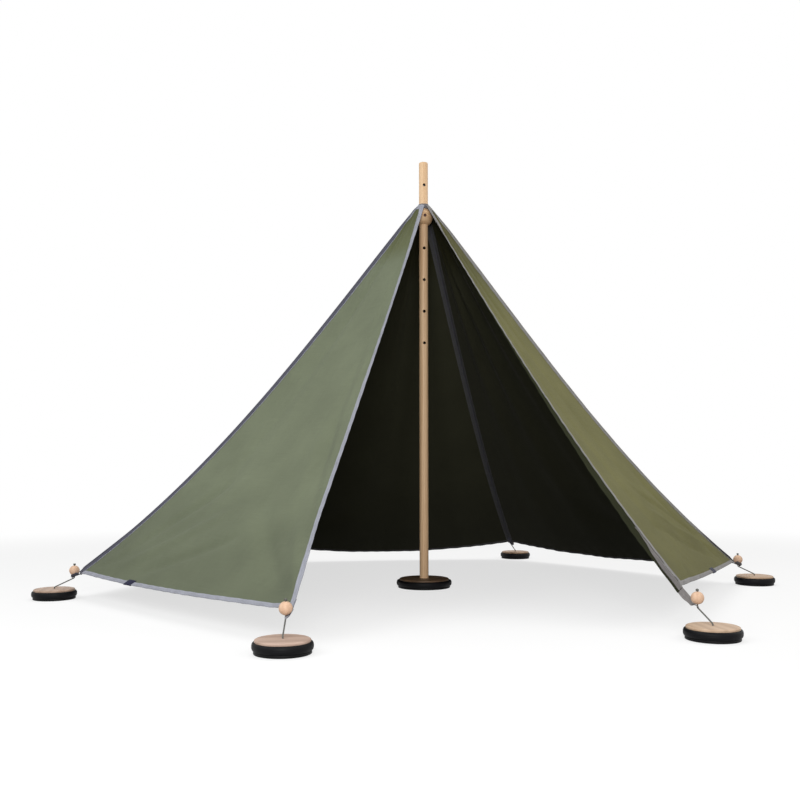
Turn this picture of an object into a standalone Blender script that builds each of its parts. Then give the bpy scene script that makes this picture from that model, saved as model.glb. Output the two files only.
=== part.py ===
"""A six-cornered play tent: five canvas panels hang between a ball on a centre pole and six
corded corners, and each corner is held down by a round anchor foot. The sixth side is the
doorway. Metres, +Z up, doorway towards -Y, origin on the floor under the pole."""

import math
from collections import namedtuple

import bmesh
import bpy
import numpy as np
from mathutils import Matrix

# Fits between neighbouring pieces
FIT = 0.0003
SLIDING_FIT = 0.0004
CORD_FIT = 0.0005

# Centre pole and its row of cross holes
POLE_DIAMETER = 0.034
POLE_LENGTH = 1.61
POLE_EDGE = 0.003
HOLE_DIAMETER = 0.011
HOLE_PITCH = 0.120
HOLE_COUNT = 6
TOP_HOLE_TO_END = 0.090
HOLES_ABOVE_BALL = 1

# Apex ball, its locking pin and the tape collar that rests on it
APEX_BALL_DIAMETER = 0.070
PIN_RECESS = 0.002
PIN_TAIL = 0.003
PIN_EDGE = 0.001
COLLAR_HEIGHT = 0.018
COLLAR_WALL = 0.0021

# Feet: a turned weight, a rubber ring round its core, and a wooden cap on both
Foot = namedtuple("Foot", "ring_diameter cap_diameter base_diameter segments")
ANCHOR_FOOT = Foot(0.150, 0.137, 0.141, 20)
CENTRE_FOOT = Foot(0.210, 0.189, 0.198, 24)
BASE_HEIGHT = 0.008
RING_HEIGHT = 0.020
CAP_THICKNESS = 0.007
RING_DEPTH = 0.011
RING_BULGE = 0.0045
CAP_BEVEL = 0.0035
CAP_LOWER_EDGE = 0.001
SOCKET_FLOOR = 0.010
KNOT_RECESS_DIAMETER = 0.018
CAP_HOLE_DIAMETER = 0.006

# Main sizes of the pitched tent
FOOTPRINT_RADIUS = 1.31
RIDGE_SAG_DEPTH = 0.052
HEM_DROP = 0.055
FOLD_DEPTH = 0.010
CANVAS_SETBACK = 0.034
TIP_INSET = 0.060
TIP_HEIGHT = 0.069

# Corners, anticlockwise from the right side of the doorway: direction of the ridge, of its head at
# the collar and of the foot. Then, as shares of the main sizes: the reach of the foot, how far the
# ridge bows sideways, and how far above the tip the canvas ends. The two doorway ridges start side
# by side at the front, and they bow because a panel pulls on one side only.
Corner = namedtuple("Corner", "name azimuth_deg head_deg foot_deg reach bow setback")
CORNERS = (
    Corner("door_right", 296.3, 282.0, 294.9, 1.0, 0.52, 2.5),
    Corner("right", 354.6, 354.6, 354.6, 0.985, 0.0, 1.0),
    Corner("rear_right", 58.7, 58.7, 58.7, 0.985, 0.0, 1.0),
    Corner("rear_left", 121.7, 121.7, 121.7, 1.0, 0.0, 1.0),
    Corner("left", 184.8, 184.8, 184.8, 1.015, 0.0, 1.0),
    Corner("door_left", 244.0, 276.0, 245.1, 1.008, -0.44, 1.12),
)

# Ridges: straight lines from collar to corner, sagging most below the middle
SAG_SKEW_SHARE = 0.45
WRAP_SHARE = 0.16
RIDGE_GAP = 0.004
HEAD_CLEARANCE = 0.0048

# Canvas panels: name, and as shares of the main sizes how far the hem hangs below its corners and
# how deep the folds are. A pleat has its place across the panel, and a streak has the ridge that it
# starts from, 0 or 1, and its angle in radians.
Panel = namedtuple("Panel", "name hem_drop pleats streaks")
PANELS = (
    Panel("right", 0.08, ((0.34, 1.0), (0.62, 0.8)), ((0, 0.55, 1.2), (1, 0.90, 1.0))),
    Panel("rear_right", 1.0, ((0.30, 1.6), (0.52, 1.8), (0.74, 1.4)), ((0, 0.60, 1.0),)),
    Panel("rear", 1.3, ((0.36, 1.6), (0.64, 1.4)), ((1, 0.70, 1.0),)),
    Panel("rear_left", 0.82, ((0.42, 1.4), (0.66, 1.2)), ((0, 0.75, 1.0),)),
    Panel("left", 0.30, ((0.30, 0.8), (0.86, 1.2)), ((0, 0.45, 1.3), (0, 0.95, 1.1))),
)
CANVAS_THICKNESS = 0.001
BELLY_DEPTH = 0.014
PLEAT_SPREAD_SHARE = 0.055
PLEAT_HEM_SHARE = 0.5
STREAK_SPREAD_RAD = 0.17
STREAK_REACH = 0.70
FOLD_FADE_WIDTH = 0.11
HEM_FOLD_SHARE = 0.35
HEM_FADE_START_SHARE = 0.75

# Binding tape folded round the canvas edge
TAPE_WIDTH = 0.015
TAPE_THICKNESS = 0.0008
TAPE_FOLD = 0.0027
HEAD_SHARE = 0.014

# Corner strap sewn under the panel corners, with the eyelet that the cord comes up through
STRAP_LAP = 0.035
STRAP_HALF_WIDTH = 0.009
STRAP_TIP_HALF_WIDTH = 0.007
STRAP_THICKNESS = 0.0018
BEND_SETBACK = 0.032
TAIL_BEND = 0.010
TAIL_FLAT = 0.013
STRAP_END = 0.009
TAIL_SLOPE_DEG = 27.0
TAIL_STEPS = 3

# Corner ball, cord and knots
CORNER_BALL_DIAMETER = 0.035
CORD_DIAMETER = 0.0036
CORD_BEND = 0.008
KNOT_DIAMETER = 0.0092
KNOT_LENGTH = 0.0065
KNOT_SHOULDER_SHARE = 0.04
KNOT_SHOULDER_WIDTH_SHARE = 0.8
KNOT_TAIL = 0.001
CAP_BEND_SHARE = 0.6
EYELET_BEND_SHARE = 0.9

# Facets
POLE_SEGMENTS = 24
HOLE_SEGMENTS = 12
CORNER_BALL_SEGMENTS = 12
APEX_BALL_STEPS = 10
CORNER_BALL_STEPS = 7
RING_ARC_POINTS = 5
CORD_BEND_STEPS = 4
CORD_PROFILE_STEPS = 2
LAP_RINGS = 4
ROWS = 9
COLUMNS = 16
SHARP_ANGLE_DEG = 35.0
MERGE_DISTANCE = 0.00001
NORMAL_STEP_SHARE = 0.002

# Sizes that follow from the values above
POLE_RADIUS = POLE_DIAMETER / 2
HOLE_RADIUS = HOLE_DIAMETER / 2
BALL_RADIUS = APEX_BALL_DIAMETER / 2
CORD_RADIUS = CORD_DIAMETER / 2
POLE_TOP = SOCKET_FLOOR + FIT + POLE_LENGTH
TOP_HOLE = POLE_TOP - TOP_HOLE_TO_END
BALL_HEIGHT = TOP_HOLE - HOLES_ABOVE_BALL * HOLE_PITCH
BORE_RADIUS = POLE_RADIUS + SLIDING_FIT
COLLAR_RADIUS = BORE_RADIUS + COLLAR_WALL
COLLAR_BOTTOM = BALL_HEIGHT + math.sqrt(BALL_RADIUS**2 - BORE_RADIUS**2) + FIT
CORE_TOP = BASE_HEIGHT + RING_HEIGHT
FOOT_TOP = CORE_TOP + FIT + CAP_THICKNESS
BINDING_HALF = CANVAS_THICKNESS / 2 + FIT + TAPE_THICKNESS
CORNER_BALL_RADIUS = CORNER_BALL_DIAMETER / 2
CORNER_BALL_BORE = CORD_RADIUS + CORD_FIT
RIDGE_TOP_RADIUS = COLLAR_RADIUS + HEAD_CLEARANCE
RIDGE_TOP_HEIGHT = COLLAR_BOTTOM + COLLAR_HEIGHT / 2


def pitch(first_deg, second_deg):
    """Angle in radians from one direction anticlockwise to another."""
    return math.radians((second_deg - first_deg) % 360)


# Materials

def linear(*levels):
    """Turns 0-255 screen levels into the linear colour that a shader takes."""
    shares = [level / 255 for level in levels]
    return [s / 12.92 if s <= 0.04045 else ((s + 0.055) / 1.055) ** 2.4 for s in shares]


def make_material(name, levels, roughness, metallic=0.0):
    """One Principled material of a plain colour."""
    material = bpy.data.materials.new(name)
    material.use_nodes = True
    shader = material.node_tree.nodes["Principled BSDF"]
    shader.inputs["Base Color"].default_value = (*linear(*levels), 1.0)
    shader.inputs["Roughness"].default_value = roughness
    shader.inputs["Metallic"].default_value = metallic
    return material


# Modelling helpers

def add_object(name, mesh, material, location=(0.0, 0.0, 0.0)):
    """Links a finished mesh as a named object with its material."""
    mesh.materials.append(material)
    mesh.shade_smooth()
    mesh.set_sharp_from_angle(angle=math.radians(SHARP_ANGLE_DEG))
    obj = bpy.data.objects.new(name, mesh)
    obj.location = location
    bpy.context.scene.collection.objects.link(obj)
    return obj


def turned_mesh(name, profile, segments):
    """Spins an outline of (radius, height) points round Z. An outline that starts and ends on the
    axis makes a solid piece, and any other is closed on itself and makes a piece with a bore."""
    bm = bmesh.new()
    points = [bm.verts.new((radius, 0.0, height)) for radius, height in profile]
    solid = profile[0][0] == 0.0 and profile[-1][0] == 0.0
    following = points[1:] if solid else points[1:] + points[:1]
    lines = [bm.edges.new(pair) for pair in zip(points, following)]
    bmesh.ops.spin(
        bm, geom=points + lines, cent=(0, 0, 0), axis=(0, 0, 1),
        angle=2 * math.pi, steps=segments, use_merge=True,
    )
    bmesh.ops.remove_doubles(bm, verts=bm.verts, dist=MERGE_DISTANCE)
    bmesh.ops.recalc_face_normals(bm, faces=bm.faces)
    mesh = bpy.data.meshes.new(name)
    bm.to_mesh(mesh)
    bm.free()
    return mesh


def lofted_mesh(name, rings, cyclic):
    """Skins a row of equal point rings, closed on itself or capped at both ends. Every other side
    splits its faces the other way, so the two leaves of a folded section stay parallel."""
    bm = bmesh.new()
    rows = [[bm.verts.new(point) for point in ring] for ring in rings]
    count = len(rows[0])
    following = rows[1:] + rows[:1] if cyclic else rows[1:]
    for ring, after in zip(rows, following):
        for i in range(count):
            j = (i + 1) % count
            if i % 4 == 0:
                bm.faces.new((ring[i], ring[j], after[j]))
                bm.faces.new((ring[i], after[j], after[i]))
            else:
                bm.faces.new((ring[i], ring[j], after[i]))
                bm.faces.new((ring[j], after[j], after[i]))
    if not cyclic:
        bm.faces.new(rows[0][::-1])
        bm.faces.new(rows[-1])
    bmesh.ops.recalc_face_normals(bm, faces=bm.faces)
    if bm.calc_volume(signed=True) < 0:
        bmesh.ops.reverse_faces(bm, faces=bm.faces)
    mesh = bpy.data.meshes.new(name)
    bm.to_mesh(mesh)
    bm.free()
    return mesh


def add_cutter(name, mesh, location=(0.0, 0.0, 0.0)):
    """A hidden wire object that a Boolean takes away from a piece."""
    cutter = bpy.data.objects.new(name, mesh)
    cutter.location = location
    cutter.hide_render = True
    cutter.display_type = "WIRE"
    bpy.context.scene.collection.objects.link(cutter)
    return cutter


def cut(obj, cutter):
    """Takes the cutter away from the object with a live Boolean."""
    modifier = obj.modifiers.new("cut", "BOOLEAN")
    modifier.operation = "DIFFERENCE"
    modifier.solver = "EXACT"
    modifier.object = cutter


def cross_holes_mesh(name, heights, reach):
    """Cylinders along Y at the given heights, as long as the piece they go through."""
    bm = bmesh.new()
    for height in heights:
        made = bmesh.ops.create_cone(
            bm, cap_ends=True, segments=HOLE_SEGMENTS, radius1=HOLE_RADIUS,
            radius2=HOLE_RADIUS, depth=2 * reach,
        )
        bmesh.ops.rotate(
            bm, verts=made["verts"], cent=(0, 0, 0),
            matrix=Matrix.Rotation(math.radians(90), 3, "X"),
        )
        bmesh.ops.translate(bm, verts=made["verts"], vec=(0, 0, height))
    mesh = bpy.data.meshes.new(name)
    bm.to_mesh(mesh)
    bm.free()
    return mesh


def ball_profile(radius, bore, steps):
    """Outline of a ball with a bore along Z: the arc runs from the top mouth to the bottom one."""
    mouth = math.asin(bore / radius)
    angles = np.linspace(mouth, math.pi - mouth, steps + 1)
    return [(radius * math.sin(a), radius * math.cos(a)) for a in angles]


# Pole, apex ball, locking pin and collar

def make_pole(wood):
    """A straight dowel with eased ends and one row of holes from front to back."""
    bottom = SOCKET_FLOOR + FIT
    profile = [
        (0.0, bottom),
        (POLE_RADIUS - POLE_EDGE, bottom),
        (POLE_RADIUS, bottom + POLE_EDGE),
        (POLE_RADIUS, POLE_TOP - POLE_EDGE),
        (POLE_RADIUS - POLE_EDGE, POLE_TOP - POLE_EDGE / 4),
        (0.0, POLE_TOP),
    ]
    pole = add_object("pole", turned_mesh("pole", profile, POLE_SEGMENTS), wood)
    heights = [TOP_HOLE - step * HOLE_PITCH for step in range(HOLE_COUNT)]
    cut(pole, add_cutter("pole_holes", cross_holes_mesh("pole_holes", heights, POLE_DIAMETER)))


def make_apex_ball(wood):
    """The ball threaded on the pole, with a cross hole that lines up with one of the pole's."""
    profile = ball_profile(BALL_RADIUS, BORE_RADIUS, APEX_BALL_STEPS)
    mesh = turned_mesh("apex_ball", profile, POLE_SEGMENTS)
    ball = add_object("apex_ball", mesh, wood, (0.0, 0.0, BALL_HEIGHT))
    hole = cross_holes_mesh("apex_ball_hole", [0.0], APEX_BALL_DIAMETER)
    cut(ball, add_cutter("apex_ball_hole", hole, (0.0, 0.0, BALL_HEIGHT)))


def make_locking_pin(dark_wood):
    """The dowel that holds the ball at its hole. It is drawn out to the front."""
    radius = HOLE_RADIUS - FIT
    front = BALL_RADIUS - PIN_RECESS
    back = BALL_RADIUS + PIN_TAIL
    profile = [
        (0.0, -back),
        (radius - PIN_EDGE, -back),
        (radius, PIN_EDGE - back),
        (radius, front - PIN_EDGE),
        (radius - PIN_EDGE, front),
        (0.0, front),
    ]
    mesh = turned_mesh("locking_pin", profile, HOLE_SEGMENTS)
    pin = add_object("locking_pin", mesh, dark_wood, (0.0, 0.0, BALL_HEIGHT))
    pin.rotation_euler = (math.radians(90), 0.0, 0.0)


def make_collar(tape):
    """The tape ring round the pole that the panel heads are sewn to. It rests on the ball."""
    top = COLLAR_BOTTOM + COLLAR_HEIGHT
    profile = [
        (BORE_RADIUS, COLLAR_BOTTOM),
        (COLLAR_RADIUS, COLLAR_BOTTOM),
        (COLLAR_RADIUS, top),
        (BORE_RADIUS, top),
    ]
    add_object("apex_collar", turned_mesh("apex_collar", profile, POLE_SEGMENTS), tape)


# Feet

def weight_profile(foot, bore, floor):
    """A disc with a wide base, a narrower core, and a bore that stops at the floor height."""
    base = foot.base_diameter / 2
    core = foot.ring_diameter / 2 - RING_DEPTH
    outside = [(base, 0.0), (base, BASE_HEIGHT), (core, BASE_HEIGHT), (core, CORE_TOP)]
    if floor > 0:
        return [(0.0, 0.0), *outside, (bore, CORE_TOP), (bore, floor), (0.0, floor)]
    return [(bore, 0.0), *outside, (bore, CORE_TOP)]


def ring_profile(foot):
    """The rubber ring: flat against the core, and bulging outwards in an arc."""
    outer = foot.ring_diameter / 2
    inner = outer - RING_DEPTH + FIT
    bottom = BASE_HEIGHT + FIT
    height = CORE_TOP - bottom
    arc = [
        (outer - RING_BULGE * (1 - math.sin(angle)), bottom + height * (1 - math.cos(angle)) / 2)
        for angle in np.linspace(0, math.pi, RING_ARC_POINTS)
    ]
    return [(inner, bottom), *arc, (inner, CORE_TOP)]


def cap_profile(foot, bore):
    """The wooden disc on top, with an eased lower edge and a bevelled upper one."""
    rim = foot.cap_diameter / 2
    bottom = CORE_TOP + FIT
    return [
        (bore, bottom),
        (rim - CAP_LOWER_EDGE, bottom),
        (rim, bottom + CAP_LOWER_EDGE),
        (rim, FOOT_TOP - CAP_BEVEL / 2),
        (rim - CAP_BEVEL, FOOT_TOP),
        (bore, FOOT_TOP),
    ]


def make_centre_foot(metal, rubber, wood):
    """The wide foot that the pole stands in."""
    profiles = {
        "centre_foot_weight": (weight_profile(CENTRE_FOOT, BORE_RADIUS, SOCKET_FLOOR), metal),
        "centre_foot_ring": (ring_profile(CENTRE_FOOT), rubber),
        "centre_foot_cap": (cap_profile(CENTRE_FOOT, BORE_RADIUS), wood),
    }
    for name, (profile, material) in profiles.items():
        add_object(name, turned_mesh(name, profile, CENTRE_FOOT.segments), material)


def make_anchor_feet(metal, rubber, wood):
    """Six loose feet, each threaded on its corner's cord."""
    pieces = {
        "anchor_weight": (weight_profile(ANCHOR_FOOT, KNOT_RECESS_DIAMETER / 2, 0.0), metal),
        "anchor_ring": (ring_profile(ANCHOR_FOOT), rubber),
        "anchor_cap": (cap_profile(ANCHOR_FOOT, CAP_HOLE_DIAMETER / 2), wood),
    }
    for corner in CORNERS:
        place = foot_point(corner, 0.0)
        for piece, (profile, material) in pieces.items():
            name = f"{piece}_{corner.name}"
            mesh = turned_mesh(name, profile, ANCHOR_FOOT.segments)
            add_object(name, mesh, material, place)


# Ridges and canvas

def flat_point(corner, radius, height):
    """A point in a corner's upright plane, from its distance to the pole and its height."""
    azimuth = math.radians(corner.azimuth_deg)
    return (radius * math.cos(azimuth), radius * math.sin(azimuth), height)


def foot_point(corner, height):
    """A point on the upright axis of a corner's foot."""
    azimuth = math.radians(corner.foot_deg)
    radius = FOOTPRINT_RADIUS * corner.reach
    return (radius * math.cos(azimuth), radius * math.sin(azimuth), height)


def bow(t):
    """Share of the full bow at t: a parabola, skewed towards the corner where the cloth is wider
    and weighs more."""
    return 4 * t * (1 - t) * (1 + SAG_SKEW_SHARE * (2 * t - 1))


def ridge_profile(corner, t):
    """Distance out, distance aside and height on a ridge, t from 0 at the collar to 1 at the
    tip, in the upright plane of the corner."""
    turn = math.radians(corner.head_deg - corner.azimuth_deg)
    head = RIDGE_TOP_RADIUS * math.cos(turn)
    run = FOOTPRINT_RADIUS * corner.reach - TIP_INSET - head
    fall = TIP_HEIGHT - RIDGE_TOP_HEIGHT
    length = math.hypot(run, fall)
    sag = RIDGE_SAG_DEPTH * bow(t)
    radius = head + run * t + sag * fall / length
    aside = RIDGE_TOP_RADIUS * math.sin(turn) * (1 - t) + sag * corner.bow
    height = RIDGE_TOP_HEIGHT + fall * t - sag * run / length
    return radius, aside, height


def ridge_length(corner):
    """Straight distance from the collar to the corner tip."""
    run = FOOTPRINT_RADIUS * corner.reach - TIP_INSET - RIDGE_TOP_RADIUS
    return math.hypot(run, TIP_HEIGHT - RIDGE_TOP_HEIGHT)


def ridge_points(corner, t):
    """Ridge points in space for an array of t."""
    radius, aside, height = ridge_profile(corner, t)
    azimuth = math.radians(corner.azimuth_deg)
    return np.stack([
        radius * math.cos(azimuth) - aside * math.sin(azimuth),
        radius * math.sin(azimuth) + aside * math.cos(azimuth),
        height,
    ], axis=-1)


def smooth_step(x):
    """Rises smoothly from 0 to 1 as x goes from 0 to 1."""
    x = np.clip(x, 0.0, 1.0)
    return x * x * (3 - 2 * x)


class Sail:
    """One panel's surface between two ridges: u runs from its first ridge to the next one
    anticlockwise, and t from the collar down."""

    def __init__(self, index):
        self.panel = PANELS[index]
        self.first = CORNERS[index]
        self.second = CORNERS[(index + 1) % len(CORNERS)]
        self.length = (ridge_length(self.first) + ridge_length(self.second)) / 2
        half = pitch(self.first.azimuth_deg, self.second.azimuth_deg) / 2
        head_half = pitch(self.first.head_deg, self.second.head_deg) / 2
        self.wrap = RIDGE_TOP_RADIUS * (1 - math.cos(head_half))
        lean = math.acos((RIDGE_TOP_HEIGHT - TIP_HEIGHT) / self.length)
        self.edge_sine = math.sqrt(1 - (math.sin(lean) * math.sin(half)) ** 2)
        one = ridge_points(self.first, np.array([0.0, 1.0]))
        two = ridge_points(self.second, np.array([0.0, 1.0]))
        down = (one[1] + two[1]) / 2 - (one[0] + two[0]) / 2
        outward = np.cross(down, two[1] - one[1])
        self.outward = outward / np.linalg.norm(outward)

    def width(self, t):
        """Distance between the two ridges."""
        across = ridge_points(self.second, t) - ridge_points(self.first, t)
        return np.linalg.norm(across, axis=-1)

    def folds(self, u, t):
        """Height of the cloth over the flat sail: the turn round the collar, a slack belly,
        pleats that fan out from the collar, and streaks that fan out from the lower corners.
        Pleats and streaks fade at the ridges."""
        width = self.width(t)
        fade = smooth_step(np.minimum(u, 1 - u) * width / FOLD_FADE_WIDTH)
        low = smooth_step((t - HEM_FADE_START_SHARE) / (1 - HEM_FADE_START_SHARE))
        fade = fade * (1 - (1 - HEM_FOLD_SHARE) * low)
        lift = np.zeros_like(u)
        for place, depth in self.panel.pleats:
            across = (u - place) / PLEAT_SPREAD_SHARE
            lift -= depth * np.exp(-(across**2)) * (1 - PLEAT_HEM_SHARE * t)
        for side, angle, depth in self.panel.streaks:
            along = (u if side == 0 else 1 - u) * width
            above = np.maximum(1 - t, 0.0) * self.length
            reach = np.hypot(along, above)
            turn = (np.arctan2(above, along + FIT) - angle) / STREAK_SPREAD_RAD
            lift += depth * np.exp(-(turn**2)) * np.exp(-((reach / STREAK_REACH) ** 2))
        wrap = self.wrap * smooth_step(1 - t / WRAP_SHARE)
        belly = BELLY_DEPTH * np.sin(math.pi * np.clip(t, 0, 1))
        return FOLD_DEPTH * fade * lift + (wrap - belly) * 4 * u * (1 - u)

    def points(self, u, t):
        """Points on the middle of the cloth."""
        first = ridge_points(self.first, t)
        across = ridge_points(self.second, t) - first
        return first + across * u[..., None] + self.outward * self.folds(u, t)[..., None]

    def normals(self, u, t):
        """Outward unit normals of the cloth, from small steps across and down."""
        step = NORMAL_STEP_SHARE
        across = self.points(u + step, t) - self.points(u - step, t)
        down = self.points(u, t + step) - self.points(u, t - step)
        normal = np.cross(down, across)
        return normal / np.linalg.norm(normal, axis=-1, keepdims=True)

    def place(self, q, v, inset):
        """Turns shares of the panel into u and t: q across between two lines that run inset
        inside the side edges, and v down to the hem."""
        setback = CANVAS_SETBACK * (self.first.setback * (1 - q) + self.second.setback * q)
        drop = HEM_DROP * self.panel.hem_drop * 4 * q * (1 - q)
        t = v * (1 - (setback - drop) / self.length)
        edge = (RIDGE_GAP / 2 + inset) / (self.width(t) * self.edge_sine)
        return edge + (1 - 2 * edge) * q, t

    def span(self, inset):
        """Shares v where a line that runs inset inside the edge starts and ends."""
        return inset / TAPE_WIDTH * HEAD_SHARE, 1 - inset / self.length

    def under(self, side, t, inset):
        """A point a small gap under the tape, at an inset from the edge on one side, and the
        normal of the cloth there."""
        t = np.array([t])
        share = (RIDGE_GAP / 2 + inset) / (self.width(t) * self.edge_sine)
        u = 1 - share if side else share
        normal = self.normals(u, t)[0]
        return self.points(u, t)[0] - (BINDING_HALF + FIT) * normal, normal

    def outline(self, inset):
        """Stations on the line that runs inset inside the edge: down the first ridge, along the
        hem, up the second ridge and over the middle of the head."""
        top, hem = self.span(inset)
        rows = top + (hem - top) * np.linspace(0, 1, ROWS + 1)
        columns = np.linspace(0, 1, COLUMNS + 1)[1:]
        q = np.concatenate([np.zeros(ROWS + 1), columns, np.ones(ROWS), [0.5]])
        v = np.concatenate([rows, np.full(COLUMNS, hem), rows[-2::-1], [top]])
        return self.place(q, v, inset)

    def rim(self, inset, height):
        """The outline's stations at an inset under the tape and at a height off the cloth. They
        lie on straight lines between the edge and the tape's inner side."""
        share = inset / TAPE_WIDTH
        edge, inner = self.outline(0.0), self.outline(TAPE_WIDTH)
        middle = self.points(*edge) * (1 - share) + self.points(*inner) * share
        normal = self.normals(*edge) * (1 - share) + self.normals(*inner) * share
        return middle + height * normal / np.linalg.norm(normal, axis=-1, keepdims=True)


def make_canvas(sail, cloth):
    """The cloth of one panel: a rim of faces that the tape covers, and a grid inside it."""
    rim = TAPE_FOLD + FIT
    outer = sail.rim(rim, 0.0)
    inner = sail.rim(TAPE_WIDTH, 0.0)
    stations = len(outer)
    top, hem = sail.span(TAPE_WIDTH)
    shares = top + (hem - top) * np.linspace(0, 1, ROWS + 1)[1:-1]
    q, v = np.meshgrid(np.linspace(0, 1, COLUMNS + 1)[1:-1], shares)
    u, t = sail.place(q, v, TAPE_WIDTH)
    middle = sail.points(u, t).reshape(-1, 3)

    def index(row, column):
        """Vertex number of a grid place inside the tape."""
        if column == 0:
            return stations + row
        if column == COLUMNS:
            return 2 * stations - 2 - row
        if row == ROWS:
            return stations + ROWS + column
        return 2 * stations + (row - 1) * (COLUMNS - 1) + column - 1

    faces = []
    for here in range(stations):
        after = (here + 1) % stations
        faces.append((here, after, stations + after))
        faces.append((here, stations + after, stations + here))
    for row in range(1, ROWS):
        for column in range(COLUMNS):
            corner, opposite = index(row, column), index(row + 1, column + 1)
            faces.append((corner, index(row + 1, column), opposite))
            faces.append((corner, opposite, index(row, column + 1)))
    heads = (index(0, 0), 2 * stations - 1, index(0, COLUMNS))
    turns = (COLUMNS // 4, COLUMNS - COLUMNS // 4)
    for column in range(COLUMNS):
        head = heads[sum(column >= turn for turn in turns)]
        faces.append((head, index(1, column), index(1, column + 1)))
    for head, after, turn in zip(heads, heads[1:], turns):
        faces.append((head, index(1, turn), after))
    mesh = bpy.data.meshes.new(f"canvas_{sail.panel.name}")
    mesh.from_pydata(np.concatenate([outer, inner, middle]).tolist(), [], faces)
    canvas = add_object(mesh.name, mesh, cloth)
    solidify = canvas.modifiers.new("thickness", "SOLIDIFY")
    solidify.thickness = CANVAS_THICKNESS
    solidify.offset = 0.0


def make_binding(sail, tape):
    """The tape folded round a panel's whole edge, as a channel that the cloth sits in."""
    inside = CANVAS_THICKNESS / 2 + FIT
    section = (
        (0.0, BINDING_HALF), (TAPE_WIDTH, BINDING_HALF), (TAPE_WIDTH, inside),
        (TAPE_FOLD, inside), (TAPE_FOLD, -inside), (TAPE_WIDTH, -inside),
        (TAPE_WIDTH, -BINDING_HALF), (0.0, -BINDING_HALF),
    )
    lines = [sail.rim(inset, height) for inset, height in section]
    rings = np.stack(lines, axis=1)
    name = f"binding_{sail.panel.name}"
    add_object(name, lofted_mesh(name, rings.tolist(), True), tape)


# Corner straps, balls and cords

class CornerEnd:
    """The end of one ridge: where strap, eyelet and ball lie."""

    def __init__(self, index, sails):
        self.corner = CORNERS[index]
        azimuth = math.radians(self.corner.azimuth_deg)
        self.outward = np.array([math.cos(azimuth), math.sin(azimuth), 0.0])
        self.sideways = np.array([-math.sin(azimuth), math.cos(azimuth), 0.0])
        self.before = sails[index - 1] if index > 0 else None
        self.after = sails[index] if index < len(sails) else None
        length = ridge_length(self.corner)
        bend_t = 1 - BEND_SETBACK / length
        step = FIT / length
        away = np.array(ridge_profile(self.corner, bend_t))
        back = np.array(ridge_profile(self.corner, bend_t - step))
        self.slope = math.atan2(back[2] - away[2], away[0] - back[0])
        lap_t = 1 - (CANVAS_SETBACK * self.corner.setback + STRAP_LAP) / length
        places = np.linspace(lap_t, bend_t, LAP_RINGS)
        self.rings = [(self.lap_ring(t), self.slope) for t in places]
        self.add_tail()

    def lap_ring(self, t):
        """Three points across the strap's upper side, where it lies under the tape. Between two
        panels it is folded along the ridge, and at the doorway it follows the one panel."""
        width = 2 * STRAP_HALF_WIDTH
        insets = (0.0, STRAP_HALF_WIDTH, width)
        if self.before is None:
            return [self.after.under(0, t, inset)[0] for inset in insets]
        if self.after is None:
            return [self.before.under(1, t, inset)[0] for inset in insets[::-1]]
        reach = STRAP_HALF_WIDTH - RIDGE_GAP / 2
        one, one_normal = self.before.under(1, t, reach)
        two, two_normal = self.after.under(0, t, reach)
        fall = (one_normal + two_normal) / (1 + float(np.dot(one_normal, two_normal)))
        ridge = ridge_points(self.corner, np.array([t]))[0] - (BINDING_HALF + FIT) * fall
        return [one, ridge, two]

    def add_tail(self):
        """Carries the strap on from the lap: round a bend and straight on past the eyelet, while
        it flattens and narrows."""
        end_slope = math.radians(TAIL_SLOPE_DEG)
        lap = self.rings[-1][0]
        start = lap[1]
        flat = [side * STRAP_TIP_HALF_WIDTH * self.sideways for side in (-1, 0, 1)]
        radius, aside, height = start @ self.outward, start @ self.sideways, start[2]
        travels = [TAIL_BEND / TAIL_STEPS] * TAIL_STEPS + [TAIL_FLAT, STRAP_END]
        for step, travel in enumerate(travels):
            turned = min((step + 0.5) / TAIL_STEPS, 1.0)
            done = min((step + 1) / TAIL_STEPS, 1.0)
            slope = self.slope + (end_slope - self.slope) * turned
            radius += travel * math.cos(slope)
            height -= travel * math.sin(slope)
            middle = self.outward * radius + self.sideways * aside * (1 - done)
            middle = middle + np.array([0.0, 0.0, height])
            ring = [
                middle + (point - start) * (1 - done) + side * done
                for point, side in zip(lap, flat)
            ]
            self.rings.append((ring, self.slope + (end_slope - self.slope) * done))
        eyelet = self.rings[-2][0][1]
        self.eyelet = (float(eyelet @ self.outward), float(eyelet[2]))
        seat = (CORNER_BALL_RADIUS + FIT) / math.cos(end_slope)
        self.ball = (self.eyelet[0], self.eyelet[1] + seat)


def make_strap(end, tape):
    """The strap as a thin folded band, with a round eyelet through it."""
    rings = []
    for top, slope in end.rings:
        up = end.outward * math.sin(slope) + np.array([0.0, 0.0, math.cos(slope)])
        rings.append(top + [point - STRAP_THICKNESS * up for point in top[::-1]])
    name = f"corner_strap_{end.corner.name}"
    strap = add_object(name, lofted_mesh(name, rings, False), tape)
    hole = bmesh.new()
    bmesh.ops.create_cone(
        hole, cap_ends=True, segments=HOLE_SEGMENTS, radius1=CORNER_BALL_BORE,
        radius2=CORNER_BALL_BORE, depth=2 * STRAP_HALF_WIDTH,
    )
    mesh = bpy.data.meshes.new(f"eyelet_{end.corner.name}")
    hole.to_mesh(mesh)
    hole.free()
    cut(strap, add_cutter(mesh.name, mesh, flat_point(end.corner, *end.eyelet)))


def make_corner_ball(end, wood):
    """A turned bead that sits on the strap's end, round the cord."""
    profile = ball_profile(CORNER_BALL_RADIUS, CORNER_BALL_BORE, CORNER_BALL_STEPS)
    name = f"corner_ball_{end.corner.name}"
    mesh = turned_mesh(name, profile, CORNER_BALL_SEGMENTS)
    add_object(name, mesh, wood, flat_point(end.corner, *end.ball))


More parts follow.
